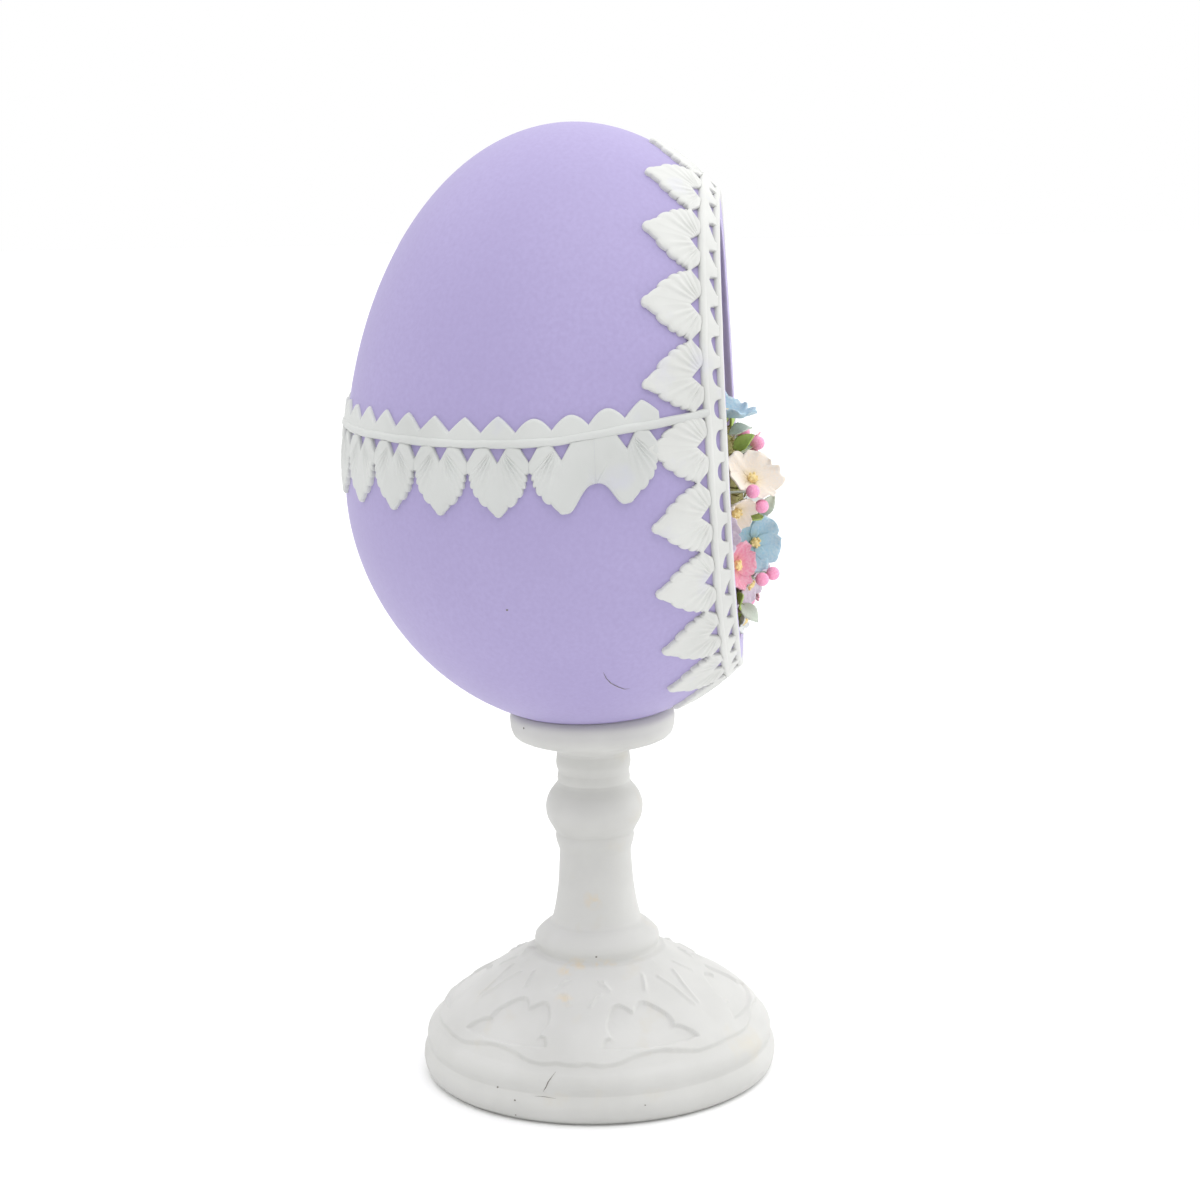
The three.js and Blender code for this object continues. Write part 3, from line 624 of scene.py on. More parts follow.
def fused_outline(style, rng):
    """Half of a fan that has run into its neighbour: no eyelet, and a smooth, shallow notch."""
    points = [(HALF_PITCH, depth) for depth in np.linspace(BAR_HALF, FUSED_VALLEY, 10)]
    free = [False] * 10
    for u in np.linspace(0.02, 1, 40):
        rise = math.sin(math.pi / 2 * min(1, u / 0.85) ** 1.3) ** 2
        depth = FUSED_VALLEY + (FAN_TIP - FUSED_VALLEY) * rise + rng.uniform(-0.03, 0.03)
        points.append((HALF_PITCH * (1 - u), depth))
        free.append(True)
    return points, free, [0.5] * len(points)


def fan_rows(span):
    """How far in from the outline each row of a fan lies, and whether it is sunk at either end."""
    yield 0 * span, "outline"
    for offset in (0, 0.1, 0.28, 0.6):
        yield np.minimum(offset, span * 0.4), ""
    for share in (0.12, 0.25, 0.4, 0.55, 0.7, 0.82):
        yield np.where(span > 1.5, 0.6 + (span - 1.15) * share, span * share), ""
    for offset in (0.55, 0.25, 0.08, 0):
        yield span - np.minimum(offset, span * 0.4), ""
    yield span, "eyelet"


def half_fan(outline, eyelet):
    """Rows across half of a fan, as [along, depth, height] from its outline in to its eyelet."""
    points, free, ribs = (np.array(values) for values in outline)
    radius = np.hypot(points[:, 0], points[:, 1])
    sin, cos = points[:, 0] / radius, points[:, 1] / radius
    open_side = (1 + BAR_HALF / eyelet) / (sin / EYELET_HALF + cos / eyelet)
    to_eyelet = sin / np.maximum(cos, 1e-6) < EYELET_HALF / BAR_HALF
    inner = np.where(to_eyelet, open_side, BAR_HALF / np.maximum(cos, 1e-6))
    span = radius - np.minimum(inner, radius)
    rows = []
    for inward, sunk in fan_rows(span):
        left = span - inward
        toward_middle = np.clip(inward / 6, 0, 1)
        outer_edge = np.where(free, edge_rise(inward, 0.9), 1)
        inner_edge = np.where(to_eyelet, edge_rise(left, 0.7), 1)
        rib = (ribs - 0.5) * RIB_RISE * np.clip(left / 2.5, 0, 1) * (0.25 + 0.75 * toward_middle)
        hollow = FAN_HOLLOW * np.where(free, toward_middle, 1)
        height = (LACE_THICK + rib + 0.15 - hollow) * np.minimum(outer_edge, inner_edge)
        if sunk:
            height = np.where(free if sunk == "outline" else to_eyelet, LACE_SUNK, height)
        at = radius - inward
        rows.append(np.stack([sin * at, cos * at, height], axis=-1))
    return np.stack(rows)


def add_fan(shape, place, centre, style, left, right, rng):
    for side, outline in ((1, right), (-1, left)):
        fan = half_fan(outline(style, rng), style[0])
        points = place(centre + side * fan[..., 0], fan[..., 1], fan[..., 2])
        shape.grid(points, flip=side < 0)


def add_bar(shape, place, start, end, bar, cap=lambda along: NO_CAP, closed=False):
    """A low round bar, no higher anywhere than its cap."""
    middle, half, height = bar
    along = np.linspace(start, end, int(abs(end - start) / BAR_STEP), endpoint=not closed)
    turns = np.linspace(0.02, math.pi - 0.02, 9)
    profile = [(-half * math.cos(a), BAR_FOOT + height * math.sin(a) ** 0.8) for a in turns]
    rows = []
    for offset, rise in [(-half, BAR_SUNK), *profile, (half, BAR_SUNK)]:
        wave = 0.06 * np.sin(along * 0.21 + offset) + 0.04 * np.sin(along * 0.53)
        rows.append(place(along, middle + offset + wave, np.minimum(rise, cap(along))))
    shape.grid(np.stack(rows), closed=closed, flip=True)


def add_tooth(shape, centre, height, power, last=None):
    """A rounded tooth on a narrow band above the bar, closed at the column where the row ends."""
    across = np.linspace(-1, 1, 19)
    tall = height * (1 - np.abs(across) ** power)
    rows = []
    for row, offset in enumerate((0, 0, 0.12, 0.35, 0.8, 1.5, TO_BAR)):
        depth = np.minimum(offset, tall + TOOTH_BASE - 0.5)
        rise = edge_rise(depth, 0.8) * (LACE_THICK - 0.1) if row else np.full(19, LACE_SUNK)
        if last is not None:
            rise[last] = LACE_SUNK
        rows.append(on_waist(centre + across * TOOTH_PITCH / 2, -TOOTH_BASE - tall + depth, rise))
    shape.grid(np.stack(rows))


def add_window_cell(shape, centre, half_cell, half, skew):
    """The strip round one window between the bars, which is deeper at one end when skewed."""
    across = np.linspace(-half_cell, half_cell, 31)
    share = np.clip(across / half, -1, 1)
    in_window = np.abs(across) < half
    oval = (1 - np.abs(share) ** 2.2) ** 0.5
    wedge = np.clip(1.5 * (1 - share * np.sign(skew)) / 2, 0, 1)
    wedge = wedge * np.clip(2.5 * (1 - np.abs(share)), 0, 1) ** 0.6
    reach = WINDOW_DEEP * (oval * (1 - abs(skew)) + wedge * abs(skew))
    edge = np.where(in_window, RIM_BAR_AT + 0.7 + reach, RIM_BAR_AT + 0.5)
    rows = []
    for row, offset in enumerate((0, 0, 0.1, 0.3, 0.6, TO_BAR)):
        depth = np.minimum(edge + offset, -0.4)
        rise = edge_rise(depth - edge, 0.5) * LACE_THICK if row else LACE_SUNK
        rows.append(on_opening(centre + across, depth, np.where(in_window, rise, LACE_THICK)))
    shape.grid(np.stack(rows))


def opening_lace(material):
    rng = random.Random(5)
    shape = Shape()
    for fan in range(OPENING_FANS):
        centre = (fan + OPENING_SHIFT) * PITCH
        add_fan(shape, on_opening, centre, OPENING_FAN, fan_outline, fan_outline, rng)
    half_cell = OPENING_AROUND / WINDOWS / 2
    for window in range(WINDOWS):
        centre = (window + WINDOW_PHASE) * half_cell * 2
        upward = 1 if centre < OPENING_AROUND / 2 else -1
        below = centre - OPENING_AROUND / 4 if upward > 0 else OPENING_AROUND * 0.75 - centre
        skewed = max(0, min(1, (abs(below) - SKEW_FROM) / SKEW_OVER))
        skew = -upward * math.copysign(skewed, below)
        add_window_cell(shape, centre, half_cell, rng.uniform(*WINDOW_HALF), skew)
    for bar in (OPENING_BAR, RIM_BAR):
        add_bar(shape, on_opening, 0, OPENING_AROUND, bar, closed=True)
    return shape.piece("lace_round_opening", material)


def melted_cap(along):
    """How high the waist's bar may stand, which is lower where it has melted into the lace."""
    return NO_CAP - (NO_CAP - MELTED_CAP) * np.exp(-((along - MELTED_AT) / MELTED_HALF) ** 4)


def waist_lace(material):
    rng = random.Random(8)
    shape = Shape()
    last = (WAIST_FANS - 1) // 2
    halves = {last - 1: (fan_outline, fused_outline), last: (fused_outline, end_outline)}
    halves[-last] = (end_outline, fan_outline)
    for fan in range(-last, last + 1):
        left, right = halves.get(fan, (fan_outline, fan_outline))
        add_fan(shape, on_waist, WAIST_SHIFT + fan * WAIST_PITCH, WAIST_FAN, left, right, rng)
    for tooth in range(TEETH):
        soft = tooth in SOFT_TEETH
        power = 1.9 if soft else rng.uniform(1.05, 1.3)
        height = TOOTH_HEIGHT * (rng.uniform(0.8, 0.95) if soft else rng.uniform(0.95, 1.08))
        ends = {0: -1, TEETH - 1: 0}
        add_tooth(shape, TOOTH_FIRST - tooth * TOOTH_PITCH, height, power, ends.get(tooth))
    add_bar(shape, on_waist, -WAIST_END, WAIST_END, WAIST_BAR, melted_cap)
    return shape.piece("lace_round_waist", material)


# ---------------- pedestal


def through(points, spacing):
    """A smooth curve through points, sampled about evenly."""
    points = np.array(points, dtype=float)
    padded = np.vstack([2 * points[0] - points[1], points, 2 * points[-1] - points[-2]])
    samples = []
    for before, start, end, after in zip(padded, padded[1:], padded[2:], padded[3:]):
        steps = max(1, round(float(np.linalg.norm(end - start)) / spacing))
        for t in np.arange(steps) / steps:
            bend = t * (1 - t)
            leave = (end - before) / 2 - (end - start)
            arrive = (after - start) / 2 - (end - start)
            samples.append(start + (end - start) * t + bend * (leave * (1 - t) - arrive * t))
    return np.array(samples + [points[-1]])


def pedestal_profile():
    """The turned outline as [radius, height], and which of its samples belong to the dome."""
    parts = [np.linspace((0, 0), (PLINTH[0][0], 0), 6)]
    for moulding in MOULDINGS:
        start = sum(len(part) for part in parts)
        parts.append(through(moulding, DOME_SPACING if moulding is DOME else SPACING))
        if moulding is DOME:
            dome = slice(start, start + len(parts[-1]))
    return np.concatenate(parts), dome


def distance_to(run, chain):
    """How far each point of a run, a pair of arrays, is from a chain of points."""
    u, v = run
    best = np.full(u.shape, 1e9)
    for (u0, v0), (u1, v1) in zip(chain, chain[1:]):
        du, dv = u1 - u0, v1 - v0
        share = np.clip(((u - u0) * du + (v - v0) * dv) / (du * du + dv * dv), 0, 1)
        best = np.minimum(best, np.hypot(u - u0 - share * du, v - v0 - share * dv))
    return best


def inside_of(run, chain):
    """Which points of a run lie inside a closed chain."""
    u, v = run
    inside = np.zeros(u.shape, bool)
    for (u0, v0), (u1, v1) in zip(chain, chain[1:] + chain[:1]):
        crosses = (v0 > v) != (v1 > v)
        inside ^= crosses & (u < u0 + (v - v0) * (u1 - u0) / (v1 - v0 + 1e-12))
    return inside


def arc_chain(arcs, steps=6):
    """Quadratic arcs, each through its middle point, as one chain."""
    chain = []
    for start, middle, end in arcs:
        ends = list(zip(start, middle, end))
        for t in np.arange(steps) / steps:
            bend = 2 * t * (1 - t)
            chain.append(tuple(
                a * (1 - t) ** 2 + (2 * m - (a + b) / 2) * bend + b * t * t for a, m, b in ends
            ))
    return chain + [arcs[-1][2]]


def relief(angle, radius, height, length):
    """The dome's relief: a scrolled layer with windows, mirrored and repeated round the axis."""
    wedge = (np.degrees(angle) - RELIEF_AXIS) % RELIEF_REPEAT
    half = np.minimum(wedge, RELIEF_REPEAT - wedge)
    run = np.radians(half) * radius, length
    heights, lengths = height[:, 0], length[:, 0]

    def chain(points):
        return [(np.radians(a) * radius, float(np.interp(z, heights, lengths))) for a, z in points]

    def level(distance):
        share = np.clip(distance / 0.55 + 0.5, 0, 1)
        return share * share * (3 - 2 * share) + 0.28 * np.exp(-((distance - 0.75) / 0.5) ** 2)

    low = np.interp(np.interp(half, *zip(*LOWER_EDGE)), heights, lengths)
    window = chain(arc_chain(WINDOW_ARCS))
    to_window = distance_to(run, window) * np.where(inside_of(run, window), -1, 1)
    raised = np.minimum(level(length - low), level(to_window)) * RELIEF_THICK
    for points in SCROLLS:
        raised = raised + SCROLL_RISE * np.exp(-(distance_to(run, chain(points)) / 0.5) ** 2)
    swell = 0.16 * np.sin(np.radians(half) * 9) * np.sin(length * 0.45)
    top = np.clip((lengths[-1] - length) / 1.5, 0, 1) * np.clip((length - lengths[0]) / 0.8, 0, 1)
    return (raised + swell) * top


def pedestal(material):
    profile, dome = pedestal_profile()
    angle = all_round(PEDESTAL_COLUMNS)[None, :]
    radius = np.repeat(profile[:, :1], PEDESTAL_COLUMNS, axis=1)
    height = np.repeat(profile[:, 1:], PEDESTAL_COLUMNS, axis=1)
    length = lengths_along(profile)[:, None] + 0 * angle
    slope = unit(np.gradient(profile, axis=0))
    rise = np.zeros(radius.shape)
    rise[dome] = relief(angle - VIEW_AZIMUTH, radius[dome], height[dome], length[dome])
    low, high = profile[dome][0, 1], profile[dome][-1, 1]
    lump = np.degrees((angle - VIEW_AZIMUTH - LUMP_TURN + math.pi) % (2 * math.pi) - math.pi) / 4
    lump = np.exp(-lump ** 2 - ((height - LUMP_HEIGHT) / 1.1) ** 2)
    rise += LUMP_RISE * lump * ((height > low) & (height < high))
    rows = round_axis(radius + slope[:, 1:] * rise, angle, height - slope[:, :1] * rise)
    seat_radius = np.linspace(SEAT_RADIUS, 0, SEAT_ROWS)[:, None]
    heights = np.linspace(0, 20, 400)
    gap = np.minimum(np.linspace(-0.06, 2, SEAT_ROWS), TOUCH_GAP)[:, None]
    seat_height = np.interp(seat_radius, egg_radius(heights), heights) - gap
    seat = round_axis(seat_radius, angle, seat_height)
    shape = Shape()
    shape.grid(np.concatenate([rows, to_world(seat)]), closed=True)
    return shape.piece("turned_pedestal", material)


# ---------------- small marks


def ribbon(shape, points, width):
    """A thin line laid on a surface, from its points and the surface's outward directions."""
    points, outward = points
    along = np.gradient(points, axis=0)
    side = np.cross(outward, along)
    side *= (width / 2 / np.linalg.norm(side, axis=1))[:, None]
    taper = np.sin(np.linspace(0.15, math.pi - 0.15, len(points)))[:, None]
    shape.grid(np.stack([points - side * taper, points + side * taper], axis=1))


def speck(shape, points, radius):
    """A small flat dot on a surface."""
    point, outward = (value[0] for value in points)
    turn = all_round(8)[:, None]
    first = unit(np.cross(outward, (0.3, 0.2, 0.9)))
    second = np.cross(outward, first)
    rim = point + radius * (np.cos(turn) * first + np.sin(turn) * second * 0.8)
    shape.grid(np.stack([np.repeat(point[None], 8, axis=0), rim]), closed=True, flip=True)


def finer(marks):
    """A chain of places as an array with points between them."""
    marks = np.array(marks, dtype=float)
    if len(marks) == 1:
        return marks
    share = np.linspace(0, len(marks) - 1, 8 * len(marks))
    return np.stack([np.interp(share, np.arange(len(marks)), marks[:, i]) for i in (0, 1)], axis=1)


def on_pedestal(marks):
    """Places on the pedestal, from degrees right of the viewing direction and heights."""
    profile, _ = pedestal_profile()
    side_radius, side_height = profile[5:].T
    turn, height = finer(marks).T
    angle = np.radians(turn) + VIEW_AZIMUTH
    radius = np.interp(height, side_height, side_radius)
    slope = np.interp(height + 0.2, side_height, side_radius) - radius
    outward = unit(round_axis(1, angle, -slope / 0.2))
    return round_axis(radius, angle, height) + outward * MARKS_ABOVE, outward


def on_egg(marks):
    """Places on the egg, from degrees of turn and heights in its own frame."""
    turn, height = finer(marks).T
    points = round_axis(egg_radius(height), np.radians(turn), height)
    return lift(points, MARKS_ABOVE + 0 * height), egg_normal(points)


def small_marks(name, material, place, lines, specks):
    shape = Shape()
    for marks, width in lines:
        ribbon(shape, place(marks), width)
    for mark, radius in specks:
        speck(shape, place([mark]), radius)
    return shape.piece(name, material)


# ---------------- posy


def looking(round_to_left, up):
    """A direction by degrees round from straight ahead, towards -X, and degrees up."""
    turn, tilt = math.radians(round_to_left), math.radians(up)
    level = math.cos(tilt)
    return Vector((-math.sin(turn) * level, -math.cos(turn) * level, math.sin(tilt)))


def in_mound(points):
    """Inside the mound of moss, whose top and bottom are flatter than an ellipsoid's."""
    share = (points - np.array(MOUND_CENTRE)) / np.array(MOUND_RADII)
    return share[..., 0] ** 2 + share[..., 1] ** 2 + share[..., 2] ** 4 < 1


def in_hollow(points, gap):
    """Inside the shell's hollow, keeping a gap from its wall."""
    cos, sin = math.cos(EGG_LEAN), math.sin(EGG_LEAN)
    up = points[..., 2] - EGG_SEAT
    y = points[..., 1] * cos - up * sin
    height = points[..., 1] * sin + up * cos
    radius = np.hypot(points[..., 0], y)
    within = (height > SHELL_WALL + gap) & (height < EGG_LENGTH - SHELL_WALL - gap)
    return within & (radius < inner_radius(height) - gap)


def mound_normal(x, z):
    """The direction in which the mound's front faces at a place seen from the front."""
    across = (x - MOUND_CENTRE.x) / MOUND_RADII.x
    up = (z - MOUND_CENTRE.z) / MOUND_RADII.z
    out = math.sqrt(max(0.02, 1 - across ** 2 - up ** 4))
    slopes = (across / MOUND_RADII.x, -out / MOUND_RADII.y, 2 * up ** 3 / MOUND_RADII.z)
    return Vector(slopes).normalized()


def sphere(rows, columns):
    """Directions over a sphere, in rows from its upper pole to its lower one."""
    polar = np.linspace(0, math.pi, rows)[:, None]
    return round_axis(np.sin(polar), all_round(columns)[None, :], np.cos(polar))


def moss_mound(material):
    """The bed of moss: a knobbly body with short curled tufts over its front."""
    rng = np.random.default_rng(12)
    direction = sphere(90, 150)[..., [0, 2, 1]] * (1, -1, 1)

    def inside(reach):
        point = onward(MOUND_CENTRE, direction, reach[..., None])
        return in_mound(point) & in_hollow(point, 0.8)

    start = np.zeros(direction.shape[:-1])
    reach, _ = bisect(start, start + 80, 24, inside)
    knobs = np.array([
        [noise.noise(Vector(d) * 9) + 0.5 * noise.noise(Vector(d) * 23) for d in row]
        for row in direction
    ])
    surface = onward(MOUND_CENTRE, direction, (reach * (0.985 + 0.015 * knobs))[..., None])
    shape = Shape()
    shape.grid(surface, closed=True, flip=True)
    front = surface[3:58].reshape(-1, 3)
    outward = direction[3:58].reshape(-1, 3)
    for i in rng.choice(len(front), TUFTS, replace=False):
        tuft(shape, front[i] + rng.normal(0, 0.5, 3), outward[i], rng)
    return shape.piece("bed_of_moss", material)


def tuft(shape, foot, outward, rng):
    """One short curled strand of moss."""
    lean = unit(outward + rng.normal(0, 0.75, 3))
    if lean @ outward < 0.1:
        lean = outward
    curl = rng.normal(0, 1, 3)
    side = unit(np.cross(lean, curl))
    length = rng.uniform(1.2, 2.8)
    t = np.linspace(0, 1, 5)[:, None]
    spine = foot - outward * 0.4 + lean * length * t + curl * 0.35 * t ** 2
    if not in_hollow(spine[-1:], 0.3)[0] and spine[-1, 1] > -39:
        return
    width = 0.3 * np.sin(math.pi * (0.18 + 0.78 * t))
    shape.grid(np.stack([spine - side * width, spine + curl * 0.08, spine + side * width], axis=1))


def ball(shape, centre, radius, rows, columns, knobs=0.0, rng=None):
    """A ball, knobbly where knobs are given, whose poles stay single points."""
    reach = np.full((rows, columns, 1), radius)
    if knobs:
        reach[1:-1] *= 1 + rng.normal(0, knobs, reach.shape)[1:-1]
    shape.grid(onward(centre, sphere(rows, columns), reach), closed=True, flip=True)


def tube(shape, start, end, first, last, sag=0.0):
    """A round wire between two points, thicker at one end, bent a little to one side."""
    along = unit(end - start)
    side = unit(np.cross(along, (0.2, 0.5, 0.8)))
    other = np.cross(along, side)
    turn = all_round(8)[None, :, None]
    t = np.linspace(0, 1, 9)[:, None, None]
    middle = start + (end - start) * t + side * sag * np.sin(math.pi * t)
    radius = first + (last - first) * t
    shape.grid(middle + radius * (np.cos(turn) * side + np.sin(turn) * other), closed=True)


def into_mound(point, direction):
    """Where a wire from a point in a direction ends, a little way into the moss."""
    runs = np.arange(0, 20, 0.1)
    inside = in_mound(onward(point, direction, runs[:, None] + 2 * TOUCH_GAP))
    run = runs[np.argmax(inside)] if inside.any() else 20
    return onward(point, direction, run + 0.9)


def petals(radius, cup, rng, ruffle):
    """Five cupped petals as grids, each broad, creased and waved at its edge."""
    u = np.linspace(0.06, 1, 13)[:, None]
    v = np.linspace(-1, 1, 15)[None, :]
    for petal in range(PETALS):
        tip = 1 - 0.13 * np.abs(v) ** 2.6 - 0.035 * np.cos(5 * v + rng.uniform(0, 6))
        length = radius * rng.uniform(0.94, 1.02) * u * (tip + (1 - tip) * (1 - u))
        half = radius * 0.53 * np.sin(math.pi * (0.08 + 0.62 * u ** 0.8)) ** 1.1
        across = half * v * (1 - 0.12 * u * np.cos(3 * v + rng.uniform(0, 6)) ** 2)
        rise = cup * u ** 1.4 * rng.uniform(0.8, 1.15) + 0.9 * (1 - u) ** 2
        wave = ruffle * u ** 2 * np.sin(rng.uniform(3.2, 4.4) * v + rng.uniform(0, 6))
        crease = -0.28 * np.exp(-(v / 0.2) ** 2) * np.sin(math.pi * u)
        pleats = 0.07 * u * np.sin(11 * v + rng.uniform(0, 6))
        hollow = 0.16 * radius * (v ** 2) * u * (1.2 - u)
        height = rise + wave + crease + pleats + hollow + (0.14 if petal % 2 else -0.1) * u
        turn = 2 * math.pi * (petal + 0.5) / PETALS + rng.uniform(-0.06, 0.06)
        x = length * math.cos(turn) - across * math.sin(turn)
        y = length * math.sin(turn) + across * math.cos(turn)
        yield np.stack([x, y, height + 0 * x], axis=-1)


def flower(index, colour, heart, round_to_left, up, radius, cup, spin, hearts, stalks):
    rng = np.random.default_rng(100 + index)
    facing = looking(round_to_left, up)
    shape = Shape()
    for sheet in petals(radius, cup, rng, 0.055 * radius):
        sheet_solid(shape, placed(sheet, heart, facing, math.radians(spin)), PAPER)
    ball(hearts, onward(heart, facing, 1.3), HEART_RADIUS, 7, 10, 0.05, rng)
    for pip in range(PIPS):
        turn = pip * 0.9 + rng.uniform(-0.2, 0.2)
        spot = round_axis(1.15, turn, 1.9 + rng.uniform(-0.2, 0.3))
        ball(hearts, placed(spot, heart, facing), PIP_RADIUS, 5, 7)
    back = -(mound_normal(heart[0], heart[2]) + facing).normalized()
    tube(stalks, onward(heart, facing, 0.4), into_mound(heart, back), 1.15, 0.4)
    return shape.piece(f"{colour}_flower_{index}", PAPERS[colour], origin=heart)


def berry(index, middle, wires):
    rng = np.random.default_rng(300 + index)
    shape = Shape()
    ball(shape, middle, BERRY_RADIUS, 20, 28, 0.006, rng)
    back = -mound_normal(middle[0], middle[2])
    tube(wires, onward(middle, back, 1.6), into_mound(middle, back), 0.34, 0.34, sag=0.5)
    return shape.piece(f"pink_berry_{index}", BERRY)


def leaf(index, material, foot, tip, round_to_left, up):
    """A pointed leaf with a folded middle and a toothed edge."""
    rng = np.random.default_rng(500 + index)
    foot, tip = Vector(foot), Vector(tip)
    along = (tip - foot).normalized()
    facing = looking(round_to_left, up)
    facing = (facing - along * facing.dot(along)).normalized()
    side = facing.cross(along)
    length = (tip - foot).length
    u = np.linspace(0, 1, 29)[:, None]
    v = np.linspace(-1, 1, 9)[None, :]
    teeth = 1 - 0.16 * np.abs(((u * 7) % 1) - 0.3)
    half = LEAF_WIDTH / 2 * np.sin(math.pi * u ** 0.85) ** 0.75 * teeth + 0.02
    droop = 0.5 * np.sin(3 * u) + 0.3 * np.sin(5 * u + rng.uniform(0, 6)) * v
    height = 0.33 * np.abs(half * v) + droop + 0.35
    veins = 0.06 * np.sin(2 * math.pi * (9 * u - 2.2 * np.abs(v))) * np.abs(v)
    flat = np.stack([length * u + 0 * v, half * v, height + veins], axis=-1)
    turn = np.array(Matrix((along, side, facing)).transposed())
    shape = Shape()
    sheet_solid(shape, flat @ turn.T + np.array(foot), PAPER)
    return shape.piece(f"leaf_of_posy_{index}", material)


# ---------------- materials


def plain(name, roughness):
    made = bpy.data.materials.new(name)
    made.use_nodes = True
    shader = made.node_tree.nodes["Principled BSDF"]
    shader.inputs["Roughness"].default_value = roughness
    return made, made.node_tree, shader


def linear(colour):
    """A colour for a shader's socket, from its red, green and blue on a screen, up to 255."""
    return tuple(((c / 255 + 0.055) / 1.055) ** 2.4 for c in colour) + (1,)


def lighter(tone, by):
    return tuple(min(255, c + by) for c in tone)


def added(tree, kind, inputs=(), **settings):
    """A new node with its settings, and its sockets given values or linked to outputs."""
    node = tree.nodes.new("ShaderNode" + kind)
    for name, setting in settings.items():
        setattr(node, name, setting)
    for socket, value in dict(inputs).items():
        if isinstance(value, bpy.types.NodeSocket):
            tree.links.new(value, node.inputs[socket])
        else:
            node.inputs[socket].default_value = value
    return node


def ramp(tree, value, low, high, least=0.0, most=1.0):
    """A value mapped from one pair of limits to another."""
    limits = {"Value": value, "From Min": low, "From Max": high, "To Min": least, "To Max": most}
    return added(tree, "MapRange", limits).outputs["Result"]


def grain(tree, scale, detail, seed=0.0):
    """Noise over the object's own coordinates."""
    place = added(tree, "TexCoord").outputs["Object"]
    shift = added(tree, "Mapping", {"Vector": place, "Location": (seed, seed * 0.7, seed * 1.3)})
    inputs = {"Vector": shift.outputs["Vector"], "Scale": scale, "Detail": detail}
    return added(tree, "TexNoise", inputs).outputs["Fac"]


def nearness(tree, spot, reach):
    """A factor that falls from one at a spot to nothing at a reach from it, both in millimetres."""
    ends = {0: added(tree, "TexCoord").outputs["Object"], 1: Vector(spot) * MM}
    apart = added(tree, "VectorMath", ends, operation="DISTANCE")
    return ramp(tree, apart.outputs["Value"], reach * MM, 0)


def blend(tree, factor, first, second):
    """A mix of two colours, each a colour or an output."""
    inputs = {"Factor": factor, "A": first, "B": second}
    return added(tree, "Mix", inputs, data_type="RGBA").outputs["Result"]


def mottled(tree, colour, layers):
    """A colour with others laid over it through noise, by scale, limits, seed and colour."""
    for scale, low, high, seed, over in layers:
        patches = ramp(tree, grain(tree, scale, 4, seed), low, high)
        colour = blend(tree, patches, colour, linear(over))
    return colour


def finished(made, tree, shader, colour, bump):
    """Gives a material its colour, and fine bumps by their scale, strength and height in metres."""
    tree.links.new(colour, shader.inputs["Base Color"])
    if bump:
        scale, strength, distance = bump
        inputs = {"Height": grain(tree, scale, 5), "Strength": strength, "Distance": distance}
        tree.links.new(added(tree, "Bump", inputs).outputs["Normal"], shader.inputs["Normal"])
    return made


def coated(name, roughness, tone, layers, bump):
    made, tree, shader = plain(name, roughness)
    return finished(made, tree, shader, mottled(tree, linear(tone), layers), bump)


def lavender(name, tone):
    layers = [(22, 0.35, 0.65, 3, lighter(tone, 4)), (900, 0.3, 0.9, 1, lighter(tone, -6))]
    return coated(name, 0.55, tone, layers, (260, 0.12, 0.0003))


def white_casting(name, tone, stain, spots=()):
    """White casting with faint stains: scattered ones, and one round each given spot."""
    made, tree, shader = plain(name, 0.62)
    layers = [(45, 0.4, 0.7, 2, lighter(tone, -8)), (75, 0.62, 0.8, 7, stain)]
    colour = mottled(tree, linear(tone), layers)
    if spots:
        stained = mottled(tree, colour, [(350, 0.45, 0.62, 13, STAIN_TONE)])
        for spot, reach in spots:
            colour = blend(tree, nearness(tree, spot, reach), colour, stained)
    return finished(made, tree, shader, colour, (400, 0.15, 0.0003))


def paper(name, tone, deep, heart=None):
    """Mulberry paper. Where a heart is given, the petals are paler toward their edges, painted
    light on the thin edges and painted shade in the cup, and tinted toward the heart.
    """
    made, tree, shader = plain(name, 0.85)
    colour = mottled(tree, linear(tone), [(180, 0.35, 0.7, 4, deep)])
    if heart:
        # Paler toward the petal's edge: painted light on the thin edges, painted shade in the cup.
        painted_light_edge = linear(tuple(c * 0.4 + 141 for c in tone))
        colour = blend(tree, nearness(tree, (0, 0, 0), PETAL_MIDDLE), painted_light_edge, colour)
        colour = blend(tree, nearness(tree, (0, 0, 0), PETAL_FOOT), colour, linear(heart))
    fibres = ramp(tree, grain(tree, 1500, 6, 6), 0.35, 0.75)
    colour = blend(tree, fibres, colour, linear(lighter(tone, 14)))
    return finished(made, tree, shader, colour, (1800, 0.3, 0.0003))


def sugared(name, tone, deep):
    return coated(name, 0.6, tone, [(2500, 0.4, 0.7, 5, deep)], (2200, 0.5, 0.0004))


# ---------------- camera, light and floor


def camera():
    data = bpy.data.cameras.new("camera")
    data.lens = CAMERA_LENS
    seen = bpy.data.objects.new("camera", data)
    bpy.context.collection.objects.link(seen)
    aim = (Vector(CAMERA_AIM) - Vector(CAMERA_SPOT)).normalized()
    turn = aim.to_track_quat("-Z", "Y").to_matrix() @ Matrix.Rotation(-CAMERA_ROLL, 3, "Z")
    seen.matrix_world = Matrix.Translation(Vector(CAMERA_SPOT) * MM) @ turn.to_4x4()
    data.clip_start = 0.01
    data.clip_end = 20
    bpy.context.scene.camera = seen


def softbox(name, spot, aim, size, power):
    data = bpy.data.lights.new(name, "AREA")
    data.shape = "RECTANGLE"
    data.size = data.size_y = size
    data.energy = power
    lamp = bpy.data.objects.new(name, data)
    bpy.context.collection.objects.link(lamp)
    lamp.location = spot
    lamp.rotation_euler = (Vector(aim) - Vector(spot)).to_track_quat("-Z", "Y").to_euler()


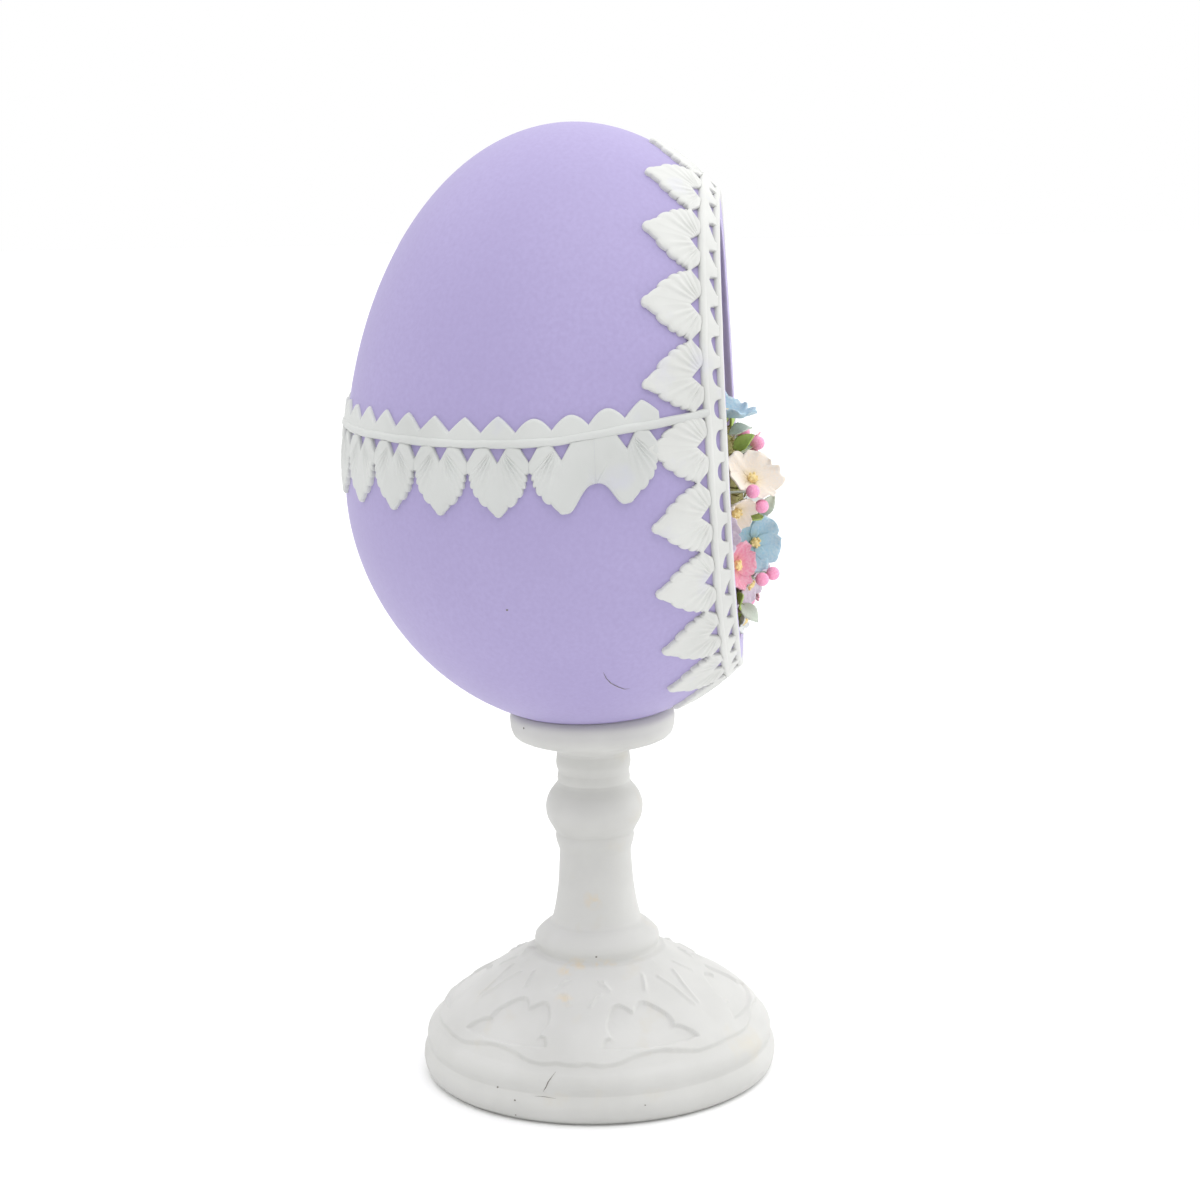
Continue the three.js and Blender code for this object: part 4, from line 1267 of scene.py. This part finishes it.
def studio():
    world = bpy.data.worlds.new("studio")
    world.use_nodes = True
    tree = world.node_tree
    backdrop = tree.nodes["Background"]
    backdrop.inputs["Color"].default_value = (1, 1, 1, 1)
    direction = added(tree, "TexCoord").outputs["Generated"]
    axes = added(tree, "SeparateXYZ", {"Vector": direction}).outputs
    strengths = [ramp(tree, axes[axis], *limits) for axis, *limits in SKY]
    total = added(tree, "Math", enumerate(strengths)).outputs["Value"]
    tree.links.new(total, backdrop.inputs["Strength"])
    bpy.context.scene.world = world
    softbox("overhead", *OVERHEAD)
    softbox("front_fill", *FRONT_FILL)
    bpy.context.scene.view_settings.view_transform = "Standard"
    made, _, shader = plain("floor", 0.9)
    shader.inputs["Base Color"].default_value = (0.9, 0.9, 0.9, 1)
    shape = Shape()
    ends = (-FLOOR_HALF, FLOOR_HALF)
    shape.grid(np.array([[(x, y, 0) for x in ends] for y in ends], float))
    floor = shape.piece("floor", made)


# ---------------- the object


def stands_for(piece, slot, *nodes):
    """Ties a piece to the object's one body, and hides the model's nodes that it stands for."""
    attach(piece, "root")
    if nodes:
        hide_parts(*nodes)


camera()
studio()

STAIN_TONE = (206, 193, 170)
STAIN_SPOTS = [(on_pedestal([place])[0][0], reach) for place, reach in STAINS]
CAST = white_casting("white_pedestal_casting", (198, 198, 195), (195, 191, 180), STAIN_SPOTS)
LACE = white_casting("white_lace_casting", (206, 207, 204), (197, 197, 206))
# The waist's lace takes a darker copy of the lace's white: painted shade, as it sits in more shade
# than the lace round the opening.
SHADED_WAIST_LACE = white_casting("waist_lace_casting_painted_shade", (198, 200, 198), (190, 191, 201))
# Dark colour of the small marks: real dirt on the specks and the hair, painted shade along the
# cracks.
DIRT_AND_CRACK_SHADE = coated("dirt_and_crack_shade", 0.9, (96, 92, 88), [(1200, 0.4, 0.7, 9, (140, 134, 126))], None)
PAPERS = {
    "blue": paper("blue_paper", (134, 174, 196), (150, 186, 206), (176, 198, 186)),
    "cream": paper("cream_paper", (220, 206, 188), (228, 216, 200), (226, 208, 150)),
    "pink": paper("pink_paper", (202, 108, 136), (216, 130, 152), (232, 176, 140)),
    "mauve": paper("mauve_paper", (178, 158, 180), (204, 190, 198), (206, 196, 176)),
    "white": paper("white_paper", (200, 206, 210), (218, 220, 216), (222, 218, 190)),
}
BLADES = {
    "green": paper("green_paper", (150, 176, 84), (180, 200, 126)),
    "pale": paper("pale_green_paper", (206, 216, 202), (224, 228, 218)),
}
BERRY = sugared("pink_sugared_berry", (238, 150, 188), (246, 178, 206))
YELLOW = sugared("yellow_heart", (230, 204, 134), (240, 222, 168))
LAVENDER = lavender("lavender_casting", (161, 151, 193))
# The inner wall's lavender is much paler than the outside's: painted light for light falling into
# the hollow.
PAINTED_LIGHT_LINING = lavender("lavender_lining_painted_light", (218, 208, 246))
MOSS_LAYERS = [(90, 0.35, 0.65, 8, (112, 94, 58)), (700, 0.35, 0.7, 11, (158, 156, 100))]
MOSS = coated("moss", 0.95, (138, 132, 78), MOSS_LAYERS, (1500, 0.5, 0.0005))

stands_for(egg_shell(LAVENDER, PAINTED_LIGHT_LINING), "lavender_shell", "egg_shell")
stands_for(pedestal(CAST), "white_cast", "pedestal")
marks = small_marks("marks_on_pedestal", DIRT_AND_CRACK_SHADE, on_pedestal, CRACKS, PEDESTAL_SPECKS)
stands_for(marks, "white_cast")
stands_for(small_marks("marks_on_egg", DIRT_AND_CRACK_SHADE, on_egg, EGG_HAIRS, EGG_SPECKS), "lavender_shell")
stands_for(opening_lace(LACE), "white_lace", "opening_lace")
stands_for(waist_lace(SHADED_WAIST_LACE), "white_lace", "waist_lace")
stands_for(moss_mound(MOSS), "moss", "moss_mound")

hearts, stalks, wires = Shape(), Shape(), Shape()
for index, (colour, *rest) in enumerate(FLOWERS, 1):
    piece = flower(index, colour, *rest, hearts, stalks)
    stands_for(piece, f"paper_{colour}", f"flower_{colour}_{index}")
for index, middle in enumerate(BERRIES, 1):
    stands_for(berry(index, middle, wires), "berry_pink", f"berry_{index}")
for index, (colour, *rest) in enumerate(LEAVES, 1):
    stands_for(leaf(index, BLADES[colour], *rest), f"leaf_{colour}", f"leaf_{index}")
stands_for(hearts.piece("flower_hearts", YELLOW), "paper_cream")
stands_for(stalks.piece("flower_stalks", BLADES["green"]), "leaf_green")
stands_for(wires.piece("berry_wires", BLADES["pale"]), "leaf_pale")
